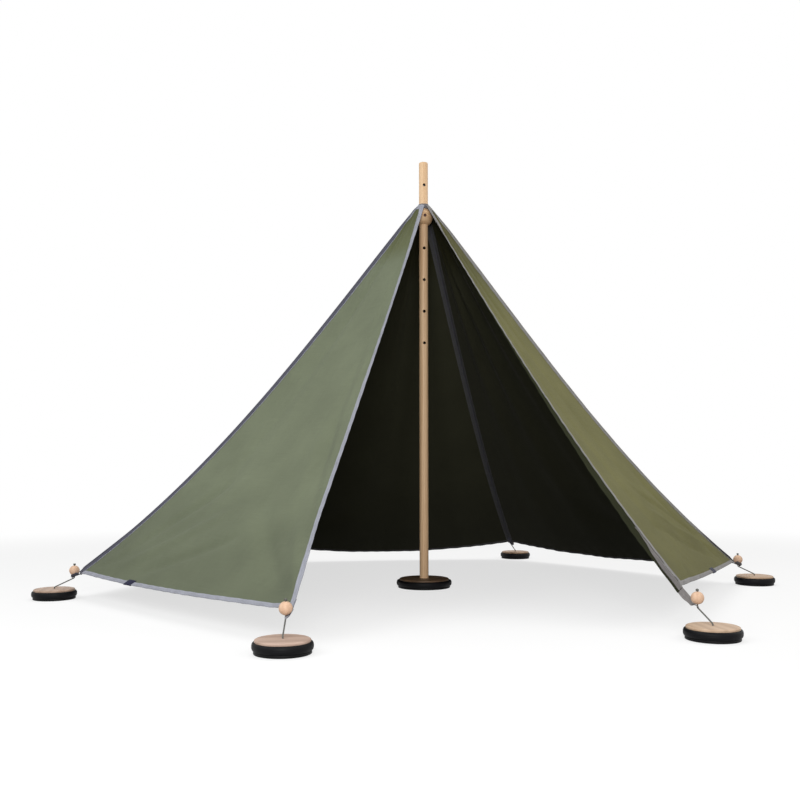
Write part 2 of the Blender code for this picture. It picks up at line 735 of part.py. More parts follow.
def rounded_route(corners, bend, steps):
    """Replaces the inner corners of a line of (travel, height) points by arcs."""
    route = [corners[0]]
    for before, here, after in zip(corners, corners[1:], corners[2:]):
        into = np.subtract(here, before) / np.linalg.norm(np.subtract(here, before))
        out = np.subtract(after, here) / np.linalg.norm(np.subtract(after, here))
        turn = math.acos(float(np.dot(into, out)))
        start = np.array(here) - into * bend * math.tan(turn / 2)
        inward = out - into * float(np.dot(into, out))
        inward = inward / np.linalg.norm(inward)
        for angle in np.linspace(0, turn, steps + 1):
            point = start + bend * (into * math.sin(angle) + inward * (1 - math.cos(angle)))
            route.append(tuple(point))
    route.append(corners[-1])
    return route


def knot(start, direction):
    """Heights and tube radii of a knot that begins at a height and goes up or down."""
    widest = KNOT_DIAMETER / 2
    shoulder = KNOT_SHOULDER_WIDTH_SHARE * widest
    swell = (
        (0.0, CORD_RADIUS), (KNOT_SHOULDER_SHARE, shoulder), (0.5, widest),
        (1 - KNOT_SHOULDER_SHARE, shoulder), (1.0, CORD_RADIUS),
    )
    points = [(start + direction * share * KNOT_LENGTH, radius) for share, radius in swell]
    return [*points, (start + direction * (KNOT_LENGTH + KNOT_TAIL), CORD_RADIUS)]


def make_corner_cord(end, cord_material):
    """A taut cord, made whole: knotted under the foot's cap, up through the cap, across to the
    strap, up through eyelet and ball, and knotted on top."""
    foot = np.array(foot_point(end.corner, 0.0))
    eyelet = np.array(flat_point(end.corner, end.eyelet[0], 0.0))
    run = float(np.linalg.norm(eyelet - foot))
    ball_mouth = end.ball[1] + math.sqrt(CORNER_BALL_RADIUS**2 - CORNER_BALL_BORE**2)
    low_knot = knot(CORE_TOP, -1)
    high_knot = knot(ball_mouth + FIT, 1)
    cap_bend = FOOT_TOP + CORD_BEND * CAP_BEND_SHARE
    eyelet_bend = end.eyelet[1] - STRAP_THICKNESS - CORD_BEND * EYELET_BEND_SHARE
    corners = [(0.0, low_knot[0][0]), (0.0, cap_bend), (run, eyelet_bend), (run, high_knot[0][0])]
    route = rounded_route(corners, CORD_BEND, CORD_BEND_STEPS)
    points = [(0.0, height, radius) for height, radius in low_knot[:0:-1]]
    points += [(*place, CORD_RADIUS) for place in route]
    points += [(run, height, radius) for height, radius in high_knot[1:]]
    name = f"corner_cord_{end.corner.name}"
    curve = bpy.data.curves.new(name, "CURVE")
    curve.dimensions = "3D"
    curve.bevel_depth = CORD_RADIUS
    curve.bevel_resolution = CORD_PROFILE_STEPS
    curve.use_fill_caps = True
    spline = curve.splines.new("POLY")
    spline.points.add(len(points) - 1)
    for point, (travel, height, tube) in zip(spline.points, points):
        across = foot + (eyelet - foot) * travel / run
        point.co = (across[0], across[1], height, 1.0)
        point.radius = tube / CORD_RADIUS
    curve.materials.append(cord_material)
    bpy.context.scene.collection.objects.link(bpy.data.objects.new(name, curve))


def main():
    """Builds the whole tent."""
    for obj in list(bpy.data.objects):
        bpy.data.objects.remove(obj, do_unlink=True)
    pale_wood = make_material("pale_beech", (222, 190, 152), 0.55)
    dark_wood = make_material("stained_dowel", (96, 46, 34), 0.6)
    canvas = make_material("olive_canvas", (109, 115, 88), 0.9)
    tape = make_material("grey_tape", (160, 162, 172), 0.85)
    cord = make_material("grey_green_cord", (150, 152, 138), 0.85)
    rubber = make_material("black_rubber", (31, 31, 34), 0.7)
    metal = make_material("black_weight", (26, 26, 28), 0.5, 0.4)
    make_pole(pale_wood)
    make_apex_ball(pale_wood)
    make_locking_pin(dark_wood)
    make_collar(tape)
    make_centre_foot(metal, rubber, pale_wood)
    make_anchor_feet(metal, rubber, pale_wood)
    sails = [Sail(index) for index in range(len(PANELS))]
    for sail in sails:
        make_canvas(sail, canvas)
        make_binding(sail, tape)
    for index in range(len(CORNERS)):
        end = CornerEnd(index, sails)
        make_strap(end, tape)
        make_corner_ball(end, pale_wood)
        make_corner_cord(end, cord)


main()
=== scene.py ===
# %% [markdown]
# # Dressing a play tent
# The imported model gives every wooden, rubber and canvas part its true place and size in metres.
# This notebook puts finer surfaces over those parts and gives each one its material. We keep the
# object's own frame throughout: the pole stands on the origin, +Z is up, and the doorway looks
# towards -Y, so no piece ever has to be moved into place afterwards.

import math
from collections import namedtuple

import bmesh
import bpy
import numpy as np
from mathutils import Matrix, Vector


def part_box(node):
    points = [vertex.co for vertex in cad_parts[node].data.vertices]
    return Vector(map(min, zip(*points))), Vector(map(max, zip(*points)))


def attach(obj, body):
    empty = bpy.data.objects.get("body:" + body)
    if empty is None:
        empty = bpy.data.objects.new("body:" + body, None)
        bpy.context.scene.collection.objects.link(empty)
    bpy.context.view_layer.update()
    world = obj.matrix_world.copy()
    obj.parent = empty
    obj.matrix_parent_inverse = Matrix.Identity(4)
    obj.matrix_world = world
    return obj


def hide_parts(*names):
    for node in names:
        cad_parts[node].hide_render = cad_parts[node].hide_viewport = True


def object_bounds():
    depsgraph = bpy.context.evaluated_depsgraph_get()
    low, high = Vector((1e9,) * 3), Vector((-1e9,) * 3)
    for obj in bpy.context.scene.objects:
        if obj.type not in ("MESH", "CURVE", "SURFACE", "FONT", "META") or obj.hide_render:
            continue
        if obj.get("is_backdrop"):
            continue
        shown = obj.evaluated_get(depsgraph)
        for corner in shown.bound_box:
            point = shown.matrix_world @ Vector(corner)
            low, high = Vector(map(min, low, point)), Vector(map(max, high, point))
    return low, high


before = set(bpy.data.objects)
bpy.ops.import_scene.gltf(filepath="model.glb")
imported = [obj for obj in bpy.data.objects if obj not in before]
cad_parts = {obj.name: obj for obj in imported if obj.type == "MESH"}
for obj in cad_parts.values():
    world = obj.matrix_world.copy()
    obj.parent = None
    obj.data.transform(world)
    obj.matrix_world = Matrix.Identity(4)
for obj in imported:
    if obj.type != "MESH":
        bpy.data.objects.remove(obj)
cad_box = [list(corner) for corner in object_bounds()]
print("the tent measures", [round(high - low, 3) for low, high in zip(*cad_box)], "m")


# %% [markdown]
# ## The camera
# The photograph was taken from low down and a little to the left of the doorway. A lens of 40 mm on
# a 36 mm sensor gives its perspective, and a small upward shift keeps the pole upright, as a
# product photographer does instead of tilting the camera.

# %% Camera
def add_object(name, data):
    """Puts a mesh, a lamp or a camera into the scene."""
    made = bpy.data.objects.new(name, data)
    bpy.context.scene.collection.objects.link(made)
    return made


camera_data = bpy.data.cameras.new("photo_camera")
camera_data.lens = 40.275
camera_data.sensor_width = 36.0
camera_data.shift_y = 0.0941
camera = add_object("photo_camera", camera_data)
camera.location = (-0.5925, -3.3665, 0.427)
camera.rotation_euler = [math.radians(angle) for angle in (90.0, 0.1, -8.45)]
bpy.context.scene.camera = camera
print("camera", [round(v, 3) for v in camera.location])


# %% [markdown]
# ## A small language for materials
# A material is easier to read when a formula looks like one. A Channel is one output of a node, and
# each sum, product or function of it adds a Math node. A Look is a material whose other nodes, such
# as noises, ramps and bumps, are made by one short call each.

# %% Channels
class Channel:
    """One output of a node, which can be reckoned with."""

    def __init__(self, tree, socket):
        self.tree, self.socket = tree, socket

    def math(self, operation, *others):
        """A Math node on this channel and the other values."""
        return add_node(self.tree, "Math", dict(enumerate([self, *others])), operation=operation)

    def __add__(self, other):
        return self.math("ADD", other)

    def __sub__(self, other):
        return self.math("SUBTRACT", other)

    def __mul__(self, other):
        return self.math("MULTIPLY", other)

    def __abs__(self):
        return self.math("ABSOLUTE")


def wire(tree, value, socket):
    """Wires a channel to an input socket, or fills the socket with a value."""
    if isinstance(value, Channel):
        tree.links.new(value.socket, socket)
    else:
        socket.default_value = value


def add_node(tree, kind, sockets=None, output=0, **options):
    """Adds a node, sets its options, wires or fills its inputs, and gives one of its outputs."""
    made = tree.nodes.new("ShaderNode" + kind)
    for option, value in options.items():
        setattr(made, option, value)
    for socket, value in (sockets or {}).items():
        wire(tree, value, made.inputs[socket])
    return Channel(tree, made.outputs[output])


# %% Looks
def scaled(levels, share):
    """Every level times a share."""
    return [share * level for level in levels]


def linear(levels):
    """Screen levels from 0 to 255 as the linear colour that a shader takes."""
    shares = np.array(levels, float) / 255
    low, high = shares / 12.92, ((shares + 0.055) / 1.055) ** 2.4
    return (*np.where(shares <= 0.04045, low, high).tolist(), 1.0)


class Look:
    """A Principled material. Each call but the last adds nodes and gives their output."""

    def __init__(self, name, roughness, specular, sheen=0.0):
        self.material = bpy.data.materials.new(name)
        self.material.use_nodes = True
        self.tree = self.material.node_tree
        self.shader = self.tree.nodes["Principled BSDF"].inputs
        self.shader["Roughness"].default_value = roughness
        self.shader["Specular IOR Level"].default_value = specular
        self.shader["Sheen Weight"].default_value = sheen

    def place(self):
        """The point on the object, in metres."""
        return add_node(self.tree, "TexCoord", output="Object")

    def axis(self, vector, number):
        """One of a vector's three parts."""
        return add_node(self.tree, "SeparateXYZ", {0: vector}, number)

    def metres(self):
        """The piece's own UV map, in metres, and its two parts, across and along."""
        uv = add_node(self.tree, "UVMap", output="UV", uv_map="UVMap")
        return uv, self.axis(uv, 0), self.axis(uv, 1)

    def mapping(self, vector, **settings):
        """The vector, scaled or turned."""
        return add_node(self.tree, "Mapping", {0: vector, **settings})

    def noise(self, vector, scale, detail):
        """Cloudy noise from 0 to 1."""
        sockets = {"Vector": vector, "Scale": scale, "Detail": detail}
        return add_node(self.tree, "TexNoise", sockets)

    def between(self, value, start=0.0, end=1.0, low=0.0, high=1.0):
        """Low to high, as the value goes from start to end."""
        return add_node(self.tree, "MapRange", {0: value, 1: start, 2: end, 3: low, 4: high})

    def ramp(self, factor, *stops):
        """A Color Ramp through (place, screen levels) stops."""
        colour = add_node(self.tree, "ValToRGB", {"Fac": factor}, "Color")
        points = colour.socket.node.color_ramp.elements
        while len(points) < len(stops):
            points.new(0.5)
        for point, (place, levels) in zip(points, stops):
            point.position = place
            point.color = linear(levels)
        return colour

    def mix(self, factor, colour, other, mode="MIX"):
        """Mixes another colour into a colour by a factor."""
        sockets = {0: factor, 6: colour, 7: other}
        return add_node(self.tree, "Mix", sockets, 2, data_type="RGBA", blend_type=mode)

    def finish(self, colour, height, depth, strength, roughness=None):
        """Wires the colour, a bump of a real depth in metres and, if given, the roughness. Gives
        the material."""
        sockets = {"Height": height, "Distance": depth, "Strength": strength}
        bump = add_node(self.tree, "Bump", sockets, "Normal")
        wire(self.tree, colour, self.shader["Base Color"])
        wire(self.tree, bump, self.shader["Normal"])
        if roughness is not None:
            wire(self.tree, roughness, self.shader["Roughness"])
        return self.material


# %% [markdown]
# ## Floor and light
# Outdoors gear like this is photographed on a white sweep. The camera sees a white floor that still
# holds the tent's shadow, but towards the tent the floor and the sky are dim, because in the
# photograph hardly any light gets in under the canvas. Light Path's camera, glossy and transmission
# rays make that difference. Far away the floor fades into the white sky, so no horizon shows.

# %% Floor and sky
def seen_directly(tree):
    """1 for rays that show the surroundings to the eye, 0 for rays that light the tent."""
    camera_ray, glossy, clear = [
        add_node(tree, "LightPath", output=f"Is {kind} Ray")
        for kind in ("Camera", "Glossy", "Transmission")
    ]
    return camera_ray.math("MAXIMUM", glossy).math("MAXIMUM", clear)


SKY_LEVEL, FLOOR_DIM, FLOOR_PALE, FLOOR_GLOW = 0.30, 0.30, 0.96, 0.68
FLOOR_HALF, FLOOR_HEIGHT, FADE_START, FADE_END = 40.0, -0.0004, 2.0, 4.5
WHITE = (1.0, 1.0, 1.0, 1.0)

floor_mesh = bpy.data.meshes.new("floor")
square = [(x * FLOOR_HALF, y * FLOOR_HALF, FLOOR_HEIGHT)
          for x, y in ((-1, -1), (1, -1), (1, 1), (-1, 1))]
floor_mesh.from_pydata(square, [], [(0, 1, 2, 3)])
floor = add_object("floor", floor_mesh)
floor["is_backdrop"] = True

look = Look("white_floor", 0.9, 0.0)
tree = look.tree
seen = seen_directly(tree)
level = look.between(seen, low=FLOOR_DIM, high=FLOOR_PALE)
grey = add_node(tree, "CombineXYZ", {0: level, 1: level, 2: level})
wire(tree, grey, look.shader["Base Color"])
away = add_node(tree, "VectorMath", {0: look.place()}, "Value", operation="LENGTH")
sockets = {0: away, 1: FADE_START, 2: FADE_END, 3: FLOOR_GLOW, 4: 1.0}
far = add_node(tree, "MapRange", sockets, interpolation_type="SMOOTHSTEP")
matt = Channel(tree, tree.nodes["Principled BSDF"].outputs[0])
glow = add_node(tree, "Emission", {"Color": WHITE, "Strength": 1.0})
both = add_node(tree, "MixShader", {0: far * seen, 1: matt, 2: glow})
wire(tree, both, tree.nodes["Material Output"].inputs["Surface"])
floor_mesh.materials.append(look.material)

world = bpy.data.worlds.new("white_sweep")
world.use_nodes = True
tree = world.node_tree
sky = tree.nodes["Background"].inputs
level = add_node(tree, "MapRange", {0: seen_directly(tree), 3: SKY_LEVEL, 4: 1.0})
wire(tree, level, sky["Strength"])
wire(tree, WHITE, sky["Color"])
bpy.context.scene.world = world
bpy.context.scene.view_settings.view_transform = "Standard"
print("floor", FLOOR_PALE, "seen and", FLOOR_DIM, "lighting")


# %% [markdown]
# Four large soft lamps stand round the tent, as a photographer's softboxes do: one at the left, one
# at the right, one overhead, and one beside the camera. The last lights the pole, the beads and the
# feet from the front, while the canvas's inner face, drawn dark as painted shade, keeps the inside
# deep.

# %% Lamps
def add_lamp(name, place, target, size, watts, colour):
    """A square area lamp at a place, turned towards a target point."""
    data = bpy.data.lights.new(name, "AREA")
    data.size, data.energy, data.color = size, watts, colour
    lamp = add_object(name, data)
    lamp.location = place
    aim = Vector(target) - Vector(place)
    lamp.rotation_euler = aim.to_track_quat("-Z", "Y").to_euler()


add_lamp("left_softbox", (-3.6, -2.0, 2.9), (-0.2, -0.2, 0.6), 2.6, 72.0, (0.97, 0.99, 1.0))
add_lamp("right_softbox", (3.9, -1.5, 2.9), (0.2, -0.2, 0.6), 2.6, 56.0, (1.0, 0.99, 0.96))
add_lamp("overhead_softbox", (0.0, 0.9, 4.6), (0.0, 0.1, 0.4), 3.4, 76.0, (1.0, 1.0, 1.0))
add_lamp("front_softbox", (-0.7, -4.3, 1.3), (0.0, 0.0, 0.7), 1.6, 84.0, (1.0, 0.99, 0.98))


# %% [markdown]
# ## Surfaces from grids
# Nearly every piece here is a sheet of quads: rows run one way, columns the other, and a formula
# gives the whole array of points at once. The helper turns such an array into a mesh and keeps a UV
# map beside it. Where the grid closes on itself, the last column joins the first, while the UV map
# runs on, so that a weave isn't torn at the joint.

# %% Grid to mesh
SHARP = math.radians(40)


def grid_piece(name, points, uv, round_rows=False, round_columns=False, closed=True, capped=False):
    """Makes an object from rows x columns points. uv has one more row or column where the grid is
    closed that way. capped fills the first and last row. Coinciding points are merged, and a
    closed piece has its faces turned out."""
    rows, columns = points.shape[:2]
    row = np.arange(rows if round_rows else rows - 1)[:, None]
    column = np.arange(columns if round_columns else columns - 1)[None, :]
    corners = [(row, column), (row, column + 1), (row + 1, column + 1), (row + 1, column)]
    faces = np.stack([r % rows * columns + c % columns for r, c in corners], -1).reshape(-1, 4)
    spots = np.stack([r * uv.shape[1] + c for r, c in corners], -1).reshape(-1)
    faces = faces.tolist()
    if capped:
        ends = (np.arange(columns)[::-1], np.arange(columns) + (rows - 1) * columns)
        faces += [end.tolist() for end in ends]
        shifts = (0, (rows - 1) * (uv.shape[1] - columns))
        spots = np.concatenate([spots, *[end + shift for end, shift in zip(ends, shifts)]])
    mesh = bpy.data.meshes.new(name)
    mesh.from_pydata(points.reshape(-1, 3).tolist(), [], faces)
    layer = mesh.uv_layers.new(name="UVMap")
    layer.data.foreach_set("uv", uv.reshape(-1, 2)[spots].ravel())
    bm = bmesh.new()
    bm.from_mesh(mesh)
    bmesh.ops.remove_doubles(bm, verts=bm.verts, dist=1e-6)
    bmesh.ops.dissolve_degenerate(bm, dist=1e-7, edges=bm.edges)
    if closed:
        bmesh.ops.recalc_face_normals(bm, faces=bm.faces)
        if bm.calc_volume(signed=True) < 0:
            bmesh.ops.reverse_faces(bm, faces=bm.faces)
    bm.to_mesh(mesh)
    bm.free()
    mesh.shade_smooth()
    mesh.set_sharp_from_angle(angle=SHARP)
    return add_object(name, mesh)


def unit(vectors):
    """The same directions, with length 1."""
    return vectors / np.linalg.norm(vectors, axis=-1, keepdims=True)


def travelled(points, closed=False):
    """Distance walked along a row of points, from 0 at the first. A closed row walks back to it."""
    if closed:
        points = np.concatenate([points, points[:1]])
    return np.concatenate([[0.0], np.cumsum(np.linalg.norm(np.diff(points, axis=0), axis=-1))])


def uv_grid(across, along):
    """The UV map of a grid, from the distances across and along it."""
    return np.stack(np.broadcast_arrays(across[None, :], along[:, None]), -1)


def dress(piece, material, slot, body, *nodes):
    """Gives a piece its material, hangs it on the body it moves with, and hides the CAD nodes it
    stands for.
    """
    piece.data.materials.clear()
    piece.data.materials.append(material)
    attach(piece, body)
    if nodes:
        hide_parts(*nodes)


# %% [markdown]
# ## Turned pieces
# Pole, balls, caps and rings all come from a lathe, and a lathe is easy to copy: draw half of the
# section once and carry it round the axis. Wood never has knife-sharp corners after sanding, so
# the helper first eases each marked corner of the section with a short parabola.

# %% Lathe helpers
def eased(section):
    """Replaces each (radius, height, ease) corner by a parabola that starts and ends the ease
    distance from it. Its formula is (1-s)^2 a + 2s(1-s) b + s^2 c, with b the corner itself."""
    points = np.array([corner[:2] for corner in section], float)
    line = [points[0]]
    s = np.linspace(0.0, 1.0, 5)[:, None]
    for before, here, after, corner in zip(points, points[1:], points[2:], section[1:]):
        if len(corner) < 3:
            line.append(here)
            continue
        start, end = [here + corner[2] * unit(other - here) for other in (before, after)]
        line.extend((1 - s) ** 2 * start + 2 * s * (1 - s) * here + s**2 * end)
    line.append(points[-1])
    return np.array(line)


def arc(centre, radius, start_deg, end_deg, steps):
    """Points on a circle in the section plane, from one angle to another."""
    angle = np.radians(np.linspace(start_deg, end_deg, steps))
    return np.stack([centre[0] + radius * np.cos(angle), centre[1] + radius * np.sin(angle)], -1)


def drilled_ball(radius, bore, mouth_deg, rim, steps):
    """Section of a ball with a bore along its axis: the arc between the bore's two mouths, and the
    bore's wall, which ends a rim short of the ball's surface."""
    wall = math.sqrt(radius**2 - bore**2) - rim
    ball = arc((0.0, 0.0), radius, mouth_deg - 90, 90 - mouth_deg, steps)
    return np.concatenate([[(bore, -wall)], ball, [(bore, wall)]])


def turned(name, section, steps, place=(0.0, 0.0, 0.0)):
    """Carries a section of (radius, height) points round the upright axis through a place. A point
    is (radius cos a, radius sin a, height). A section that starts off the axis is closed on itself,
    which makes a ring."""
    section = np.asarray(section, float)
    ring = bool(section[0, 0] > 0)
    angle = np.arange(steps) * 2 * math.pi / steps
    radius, height = section.T[:, :, None]
    points = np.stack([radius * np.cos(angle), radius * np.sin(angle), height + 0 * angle], -1)
    around = np.linspace(0.0, 2 * math.pi, steps + 1) * section[:, 0].max()
    uv = uv_grid(around, travelled(section, ring))
    return grid_piece(name, points + np.array(place), uv, round_rows=ring, round_columns=True)


def move_points(piece, change):
    """Puts every point of a piece where change(x, y, z) says."""
    points = np.empty(len(piece.data.vertices) * 3)
    piece.data.vertices.foreach_get("co", points)
    moved = change(*points.reshape(-1, 3).T)
    piece.data.vertices.foreach_set("co", np.stack(moved, -1).ravel())


def centre_of(node):
    """Middle of a CAD node's box."""
    low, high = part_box(node)
    return np.array((low + high) / 2)


# %% [markdown]
# ## Beech
# Pole, balls and caps are beech, a pale pinkish wood that is finished with clear matt oil. Its
# grain is a row of soft growth lines along the piece, crossed by fine short flecks. A noise pattern
# that is stretched along one axis gives both: the stretch decides whether it reads as a line or a
# fleck. The Mapping node swings the grain to the piece's own length first.

# %% Beech material
QUARTER = math.radians(90)
SWING = {"x": (0.0, QUARTER, 0.0), "y": (QUARTER, 0.0, 0.0), "z": (0.0, 0.0, 0.0)}
# Painted shade: the walls of drilled holes are drawn dark.
HOLE_PAINTED_SHADE, HOLE_SHADE_DEPTH = (44, 27, 19), 0.0012


def beech(name, grain, pale, deep, centre=(0.0, 0.0, 0.0), growth=9.0, skin=None):
    """Oiled beech with its grain along x, y or z, growth lines about 1/growth of 0.1 m apart. skin
    is (radius, upright): nearer than that radius to the axis, or to the centre where upright is 1,
    the wood is drawn dark, as painted shade on the wall of a drilled hole."""
    look = Look(name, 0.5, 0.35)
    moved = add_node(look.tree, "VectorMath", {0: look.place(), 1: centre}, operation="SUBTRACT")
    swung = look.mapping(moved, Rotation=SWING[grain])
    drawn = look.mapping(swung, Scale=(1.0, 1.0, 0.05))
    sideways = look.axis(drawn, 1) * 0.6 + look.axis(drawn, 0)
    bent = look.noise(drawn, 18.0, 2.0) * 0.05 + sideways
    line = (bent * (growth * 20 * math.pi)).math("SINE") * 0.5 + 0.5
    fibre = look.noise(drawn, 420.0, 5.0)
    mixed = look.noise(drawn, 30.0, 3.0) * 0.50 + (line * 0.26 + fibre * 0.30)
    middle = [round((one + two) / 2) for one, two in zip(pale, deep)]
    colour = look.ramp(mixed, (0.28, pale), (0.52, middle), (0.78, deep))
    fleck = look.noise(look.mapping(swung, Scale=(1.0, 1.0, 0.16)), 900.0, 1.0)
    shown = look.between(fleck, 0.60, 0.72) * 0.18
    colour = look.mix(shown, colour, linear(scaled(deep, 0.8)))
    # Painted shade on the walls of drilled holes.
    if skin:
        radius, upright = skin
        flat = look.mapping(moved, Scale=(1.0, 1.0, upright))
        away = add_node(look.tree, "VectorMath", {0: flat}, "Value", operation="LENGTH")
        inside = look.between(away, radius, radius - HOLE_SHADE_DEPTH)
        colour = look.mix(inside, colour, linear(HOLE_PAINTED_SHADE))
    return look.finish(colour, mixed, 0.0003, 0.35, look.between(fibre, low=0.42, high=0.62))


pole_wood = beech("beech_pole", "z", (242, 208, 168), (214, 174, 132), growth=12.0,
                  skin=(0.0163, 0.0))
print("material", pole_wood.name)


# %% [markdown]
# ## The pole
# The pole is a dowel of 34 mm with six cross holes, so that the ball can be pinned at different
# heights. We turn the dowel, turn one spool-shaped cutter per hole, whose ends flare a little, and
# take the cutters away. The flare leaves the eased hole mouths that a countersink leaves.

# %% Pole
POLE_RADIUS, BORE_RADIUS, HOLE_RADIUS = 0.017, 0.0174, 0.0055
HOLE_PITCH, TOP_HOLE_TO_END, DOME = 0.120, 0.090, 0.0016


def drill(piece, heights, reach, flare=0.0005, deep=0.0014, beyond=0.01):
    """Takes a spool along Y away from a piece at each height: the hole's radius in the middle, and
    wider by the flare at the surface, at the reach from the axis. The flare is a little deep, and
    the spool runs on beyond the surface."""
    ends = [(0.0, -reach - beyond), (HOLE_RADIUS + 3 * flare, -reach - beyond),
            (HOLE_RADIUS + flare, -reach), (HOLE_RADIUS, deep - reach)]
    spool = ends + [(radius, -height) for radius, height in ends[::-1]]
    for height in heights:
        cutter = turned("drill", spool, 32)
        move_points(cutter, lambda x, y, z: (x, z, height - y))
        modifier = piece.modifiers.new("hole", "BOOLEAN")
        modifier.operation, modifier.solver, modifier.object = "DIFFERENCE", "EXACT", cutter
        settled = piece.evaluated_get(bpy.context.evaluated_depsgraph_get())
        mesh = bpy.data.meshes.new_from_object(settled)
        piece.modifiers.clear()
        piece.data = mesh
        bpy.data.objects.remove(cutter, do_unlink=True)
    piece.data.name = piece.name
    piece.data.set_sharp_from_angle(angle=SHARP)


pole_low, pole_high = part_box("pole")
bottom, top = pole_low.z, pole_high.z
section = eased([
    (0.0, bottom), (POLE_RADIUS, bottom, 0.002), (POLE_RADIUS, top - DOME, 0.004), (0.0, top),
])
pole = turned("turned_pole", section, 96)
drill(pole, [top - TOP_HOLE_TO_END - step * HOLE_PITCH for step in range(6)], POLE_RADIUS)
dress(pole, pole_wood, "pale_wood", "tent", "pole")
print("pole", round(top - bottom, 3), "m long,", len(pole.data.polygons), "faces")

# %% [markdown]
# The ball that carries the canvas is threaded on the pole. It is a sphere of 70 mm with a bore and
# one cross hole, and a short dark dowel goes through that hole and the pole's.

# %% Apex ball and pin
BALL_RADIUS, PIN_RADIUS = 0.035, 0.0052
ball_middle = float(centre_of("apex_ball")[2])
mouth = math.degrees(math.asin(BORE_RADIUS / BALL_RADIUS)) + 1.4
section = drilled_ball(BALL_RADIUS, BORE_RADIUS, mouth, 0.0012, 48)
apex_ball = turned("turned_apex_ball", section, 96)
drill(apex_ball, [0.0], BALL_RADIUS - 0.0008)
move_points(apex_ball, lambda x, y, z: (x, y, z + ball_middle))
ball_wood = beech("beech_apex_ball", "x", (228, 192, 150), (198, 158, 118),
                  (0.0, 0.0, ball_middle), 6.0, (BALL_RADIUS - 0.0011, 1.0))
dress(apex_ball, ball_wood, "pale_wood", "tent", "apex_ball")

front, back = [corner.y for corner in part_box("locking_pin")]
section = eased([
    (0.0, front), (PIN_RADIUS, front, 0.0012), (PIN_RADIUS, back, 0.0012), (0.0, back),
])
pin = turned("turned_pin", section, 40)
move_points(pin, lambda x, y, z: (x, z, ball_middle - y))
# The pin is drawn dark.
pin_wood = beech("stained_pin", "y", (80, 42, 33), (50, 24, 19), growth=20.0)
dress(pin, pin_wood, "dark_wood", "pin", "locking_pin")
print("ball at", round(ball_middle, 4), "m")


# %% [markdown]
# ## The seven feet
# Each foot is a sandwich: a heavy black disc below, a rubber ring round its core, and a beech cap
# glued on top. The ring bulges past the cap, so the foot can't scratch a floor. A fine parting line
# runs round the rubber, where the two halves of its mould met.

# %% Foot materials
def black_rubber():
    """Satin black rubber: a fine leather-like skin, greyed a little where it is handled."""
    look = Look("moulded_rubber", 0.62, 0.12)
    dust = look.between(look.noise(look.place(), 26.0, 6.0), 0.45, 0.75)
    colour = look.mix(dust, linear((9, 9, 11)), linear((17, 17, 20)))
    skin = look.noise(look.place(), 900.0, 3.0)
    return look.finish(colour, skin, 0.0003, 0.4, look.between(dust, low=0.5, high=0.75))


def black_weight():
    """Powder-coated iron: a pebbled black coat with faint scuffs."""
    look = Look("coated_weight", 0.5, 0.12)
    scuff = look.noise(look.mapping(look.place(), Scale=(1.0, 1.0, 9.0)), 60.0, 8.0)
    scuff = look.between(scuff, 0.58, 0.70)
    colour = look.mix(scuff, linear((9, 9, 10)), linear((24, 23, 23)))
    return look.finish(colour, look.noise(look.place(), 1300.0, 1.0), 0.0003, 0.5)


rubber = black_rubber()
weight_coat = black_weight()


# %% Foot sections
FIT = 0.0003
RING_DEPTH, BEVEL_WIDTH, BEVEL_DEPTH = 0.011, 0.0034, 0.0022
LINE_DEPTH, LINE_TURN = 0.0004, 0.07


def bell(x, half):
    """A bell curve, exp(-(x / half)^2): 1 in its middle, and nearly 0 two halves away."""
    return np.exp(-((x / half) ** 2))


def cap_section(low, high, radius, bore):
    """The beech disc: nearly flat below, and a long soft bevel on its upper edge."""
    return eased([
        (bore, low), (radius, low, 0.0008), (radius, high - BEVEL_DEPTH, 0.0012),
        (radius - BEVEL_WIDTH, high, 0.0026), (bore + 0.0006, high, 0.0004), (bore, high - 0.0006),
    ])


def ring_section(low, high, inner, outer, bulge=0.0045):
    """The rubber ring: flat inside, bulging outside in an arc, with a parting line halfway. The
    arc is outer - bulge (1 - sin a), and the line is a narrow bell of 0.4 mm cut into it."""
    angle = np.linspace(0.0, math.pi, 33)
    radius = outer - bulge * (1 - np.sin(angle))
    radius -= LINE_DEPTH * bell(angle - math.pi / 2, LINE_TURN)
    height = low + (high - low) * (1 - np.cos(angle)) / 2
    return np.concatenate([[(inner, low)], np.stack([radius, height], -1), [(inner, high)]])


def weight_section(low, step, high, base, core, bore, floor_height):
    """The iron disc: a wide base, a narrower core, and a socket that stops at the floor height."""
    outside = [(base, low, 0.0015), (base, step, 0.002), (core, step), (core, high, 0.0006)]
    if floor_height > 0:
        socket = [(bore, high), (bore, floor_height), (0.0, floor_height)]
        return eased([(0.0, low), *outside, *socket])
    return eased([(bore, low), *outside, (bore, high)])


# %% Foot pieces
def make_foot(label, name, body, cap_bore, bore, floor_height, grain):
    """Cap, ring and weight of one foot, each over its CAD node."""
    nodes = [f"{label}_{piece}{name}" for piece in ("cap", "ring", "weight")]
    boxes = [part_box(node) for node in nodes]
    place = (*centre_of(nodes[1])[:2], 0.0)
    cap_radius, outer, base = [(high.x - low.x) / 2 for low, high in boxes]
    (cap_low, cap_high), (ring_low, ring_high), (low, high) = [(a.z, b.z) for a, b in boxes]
    inner = outer - RING_DEPTH + FIT
    sections = (
        cap_section(cap_low, cap_high, cap_radius, cap_bore),
        ring_section(ring_low, ring_high, inner, outer),
        weight_section(low, ring_low - FIT, high, base, inner - FIT, bore, floor_height),
    )
    wood = beech(f"beech_{nodes[0]}", grain, *FOOT_TONES[name], place, 3.0)
    made_of = (("turned", wood, "pale_wood"), ("moulded", rubber, "rubber"),
               ("cast", weight_coat, "weight"))
    for node, section, (way, material, slot) in zip(nodes, sections, made_of):
        dress(turned(f"{way}_{node}", section, 96, place), material, slot, body, node)
    return place
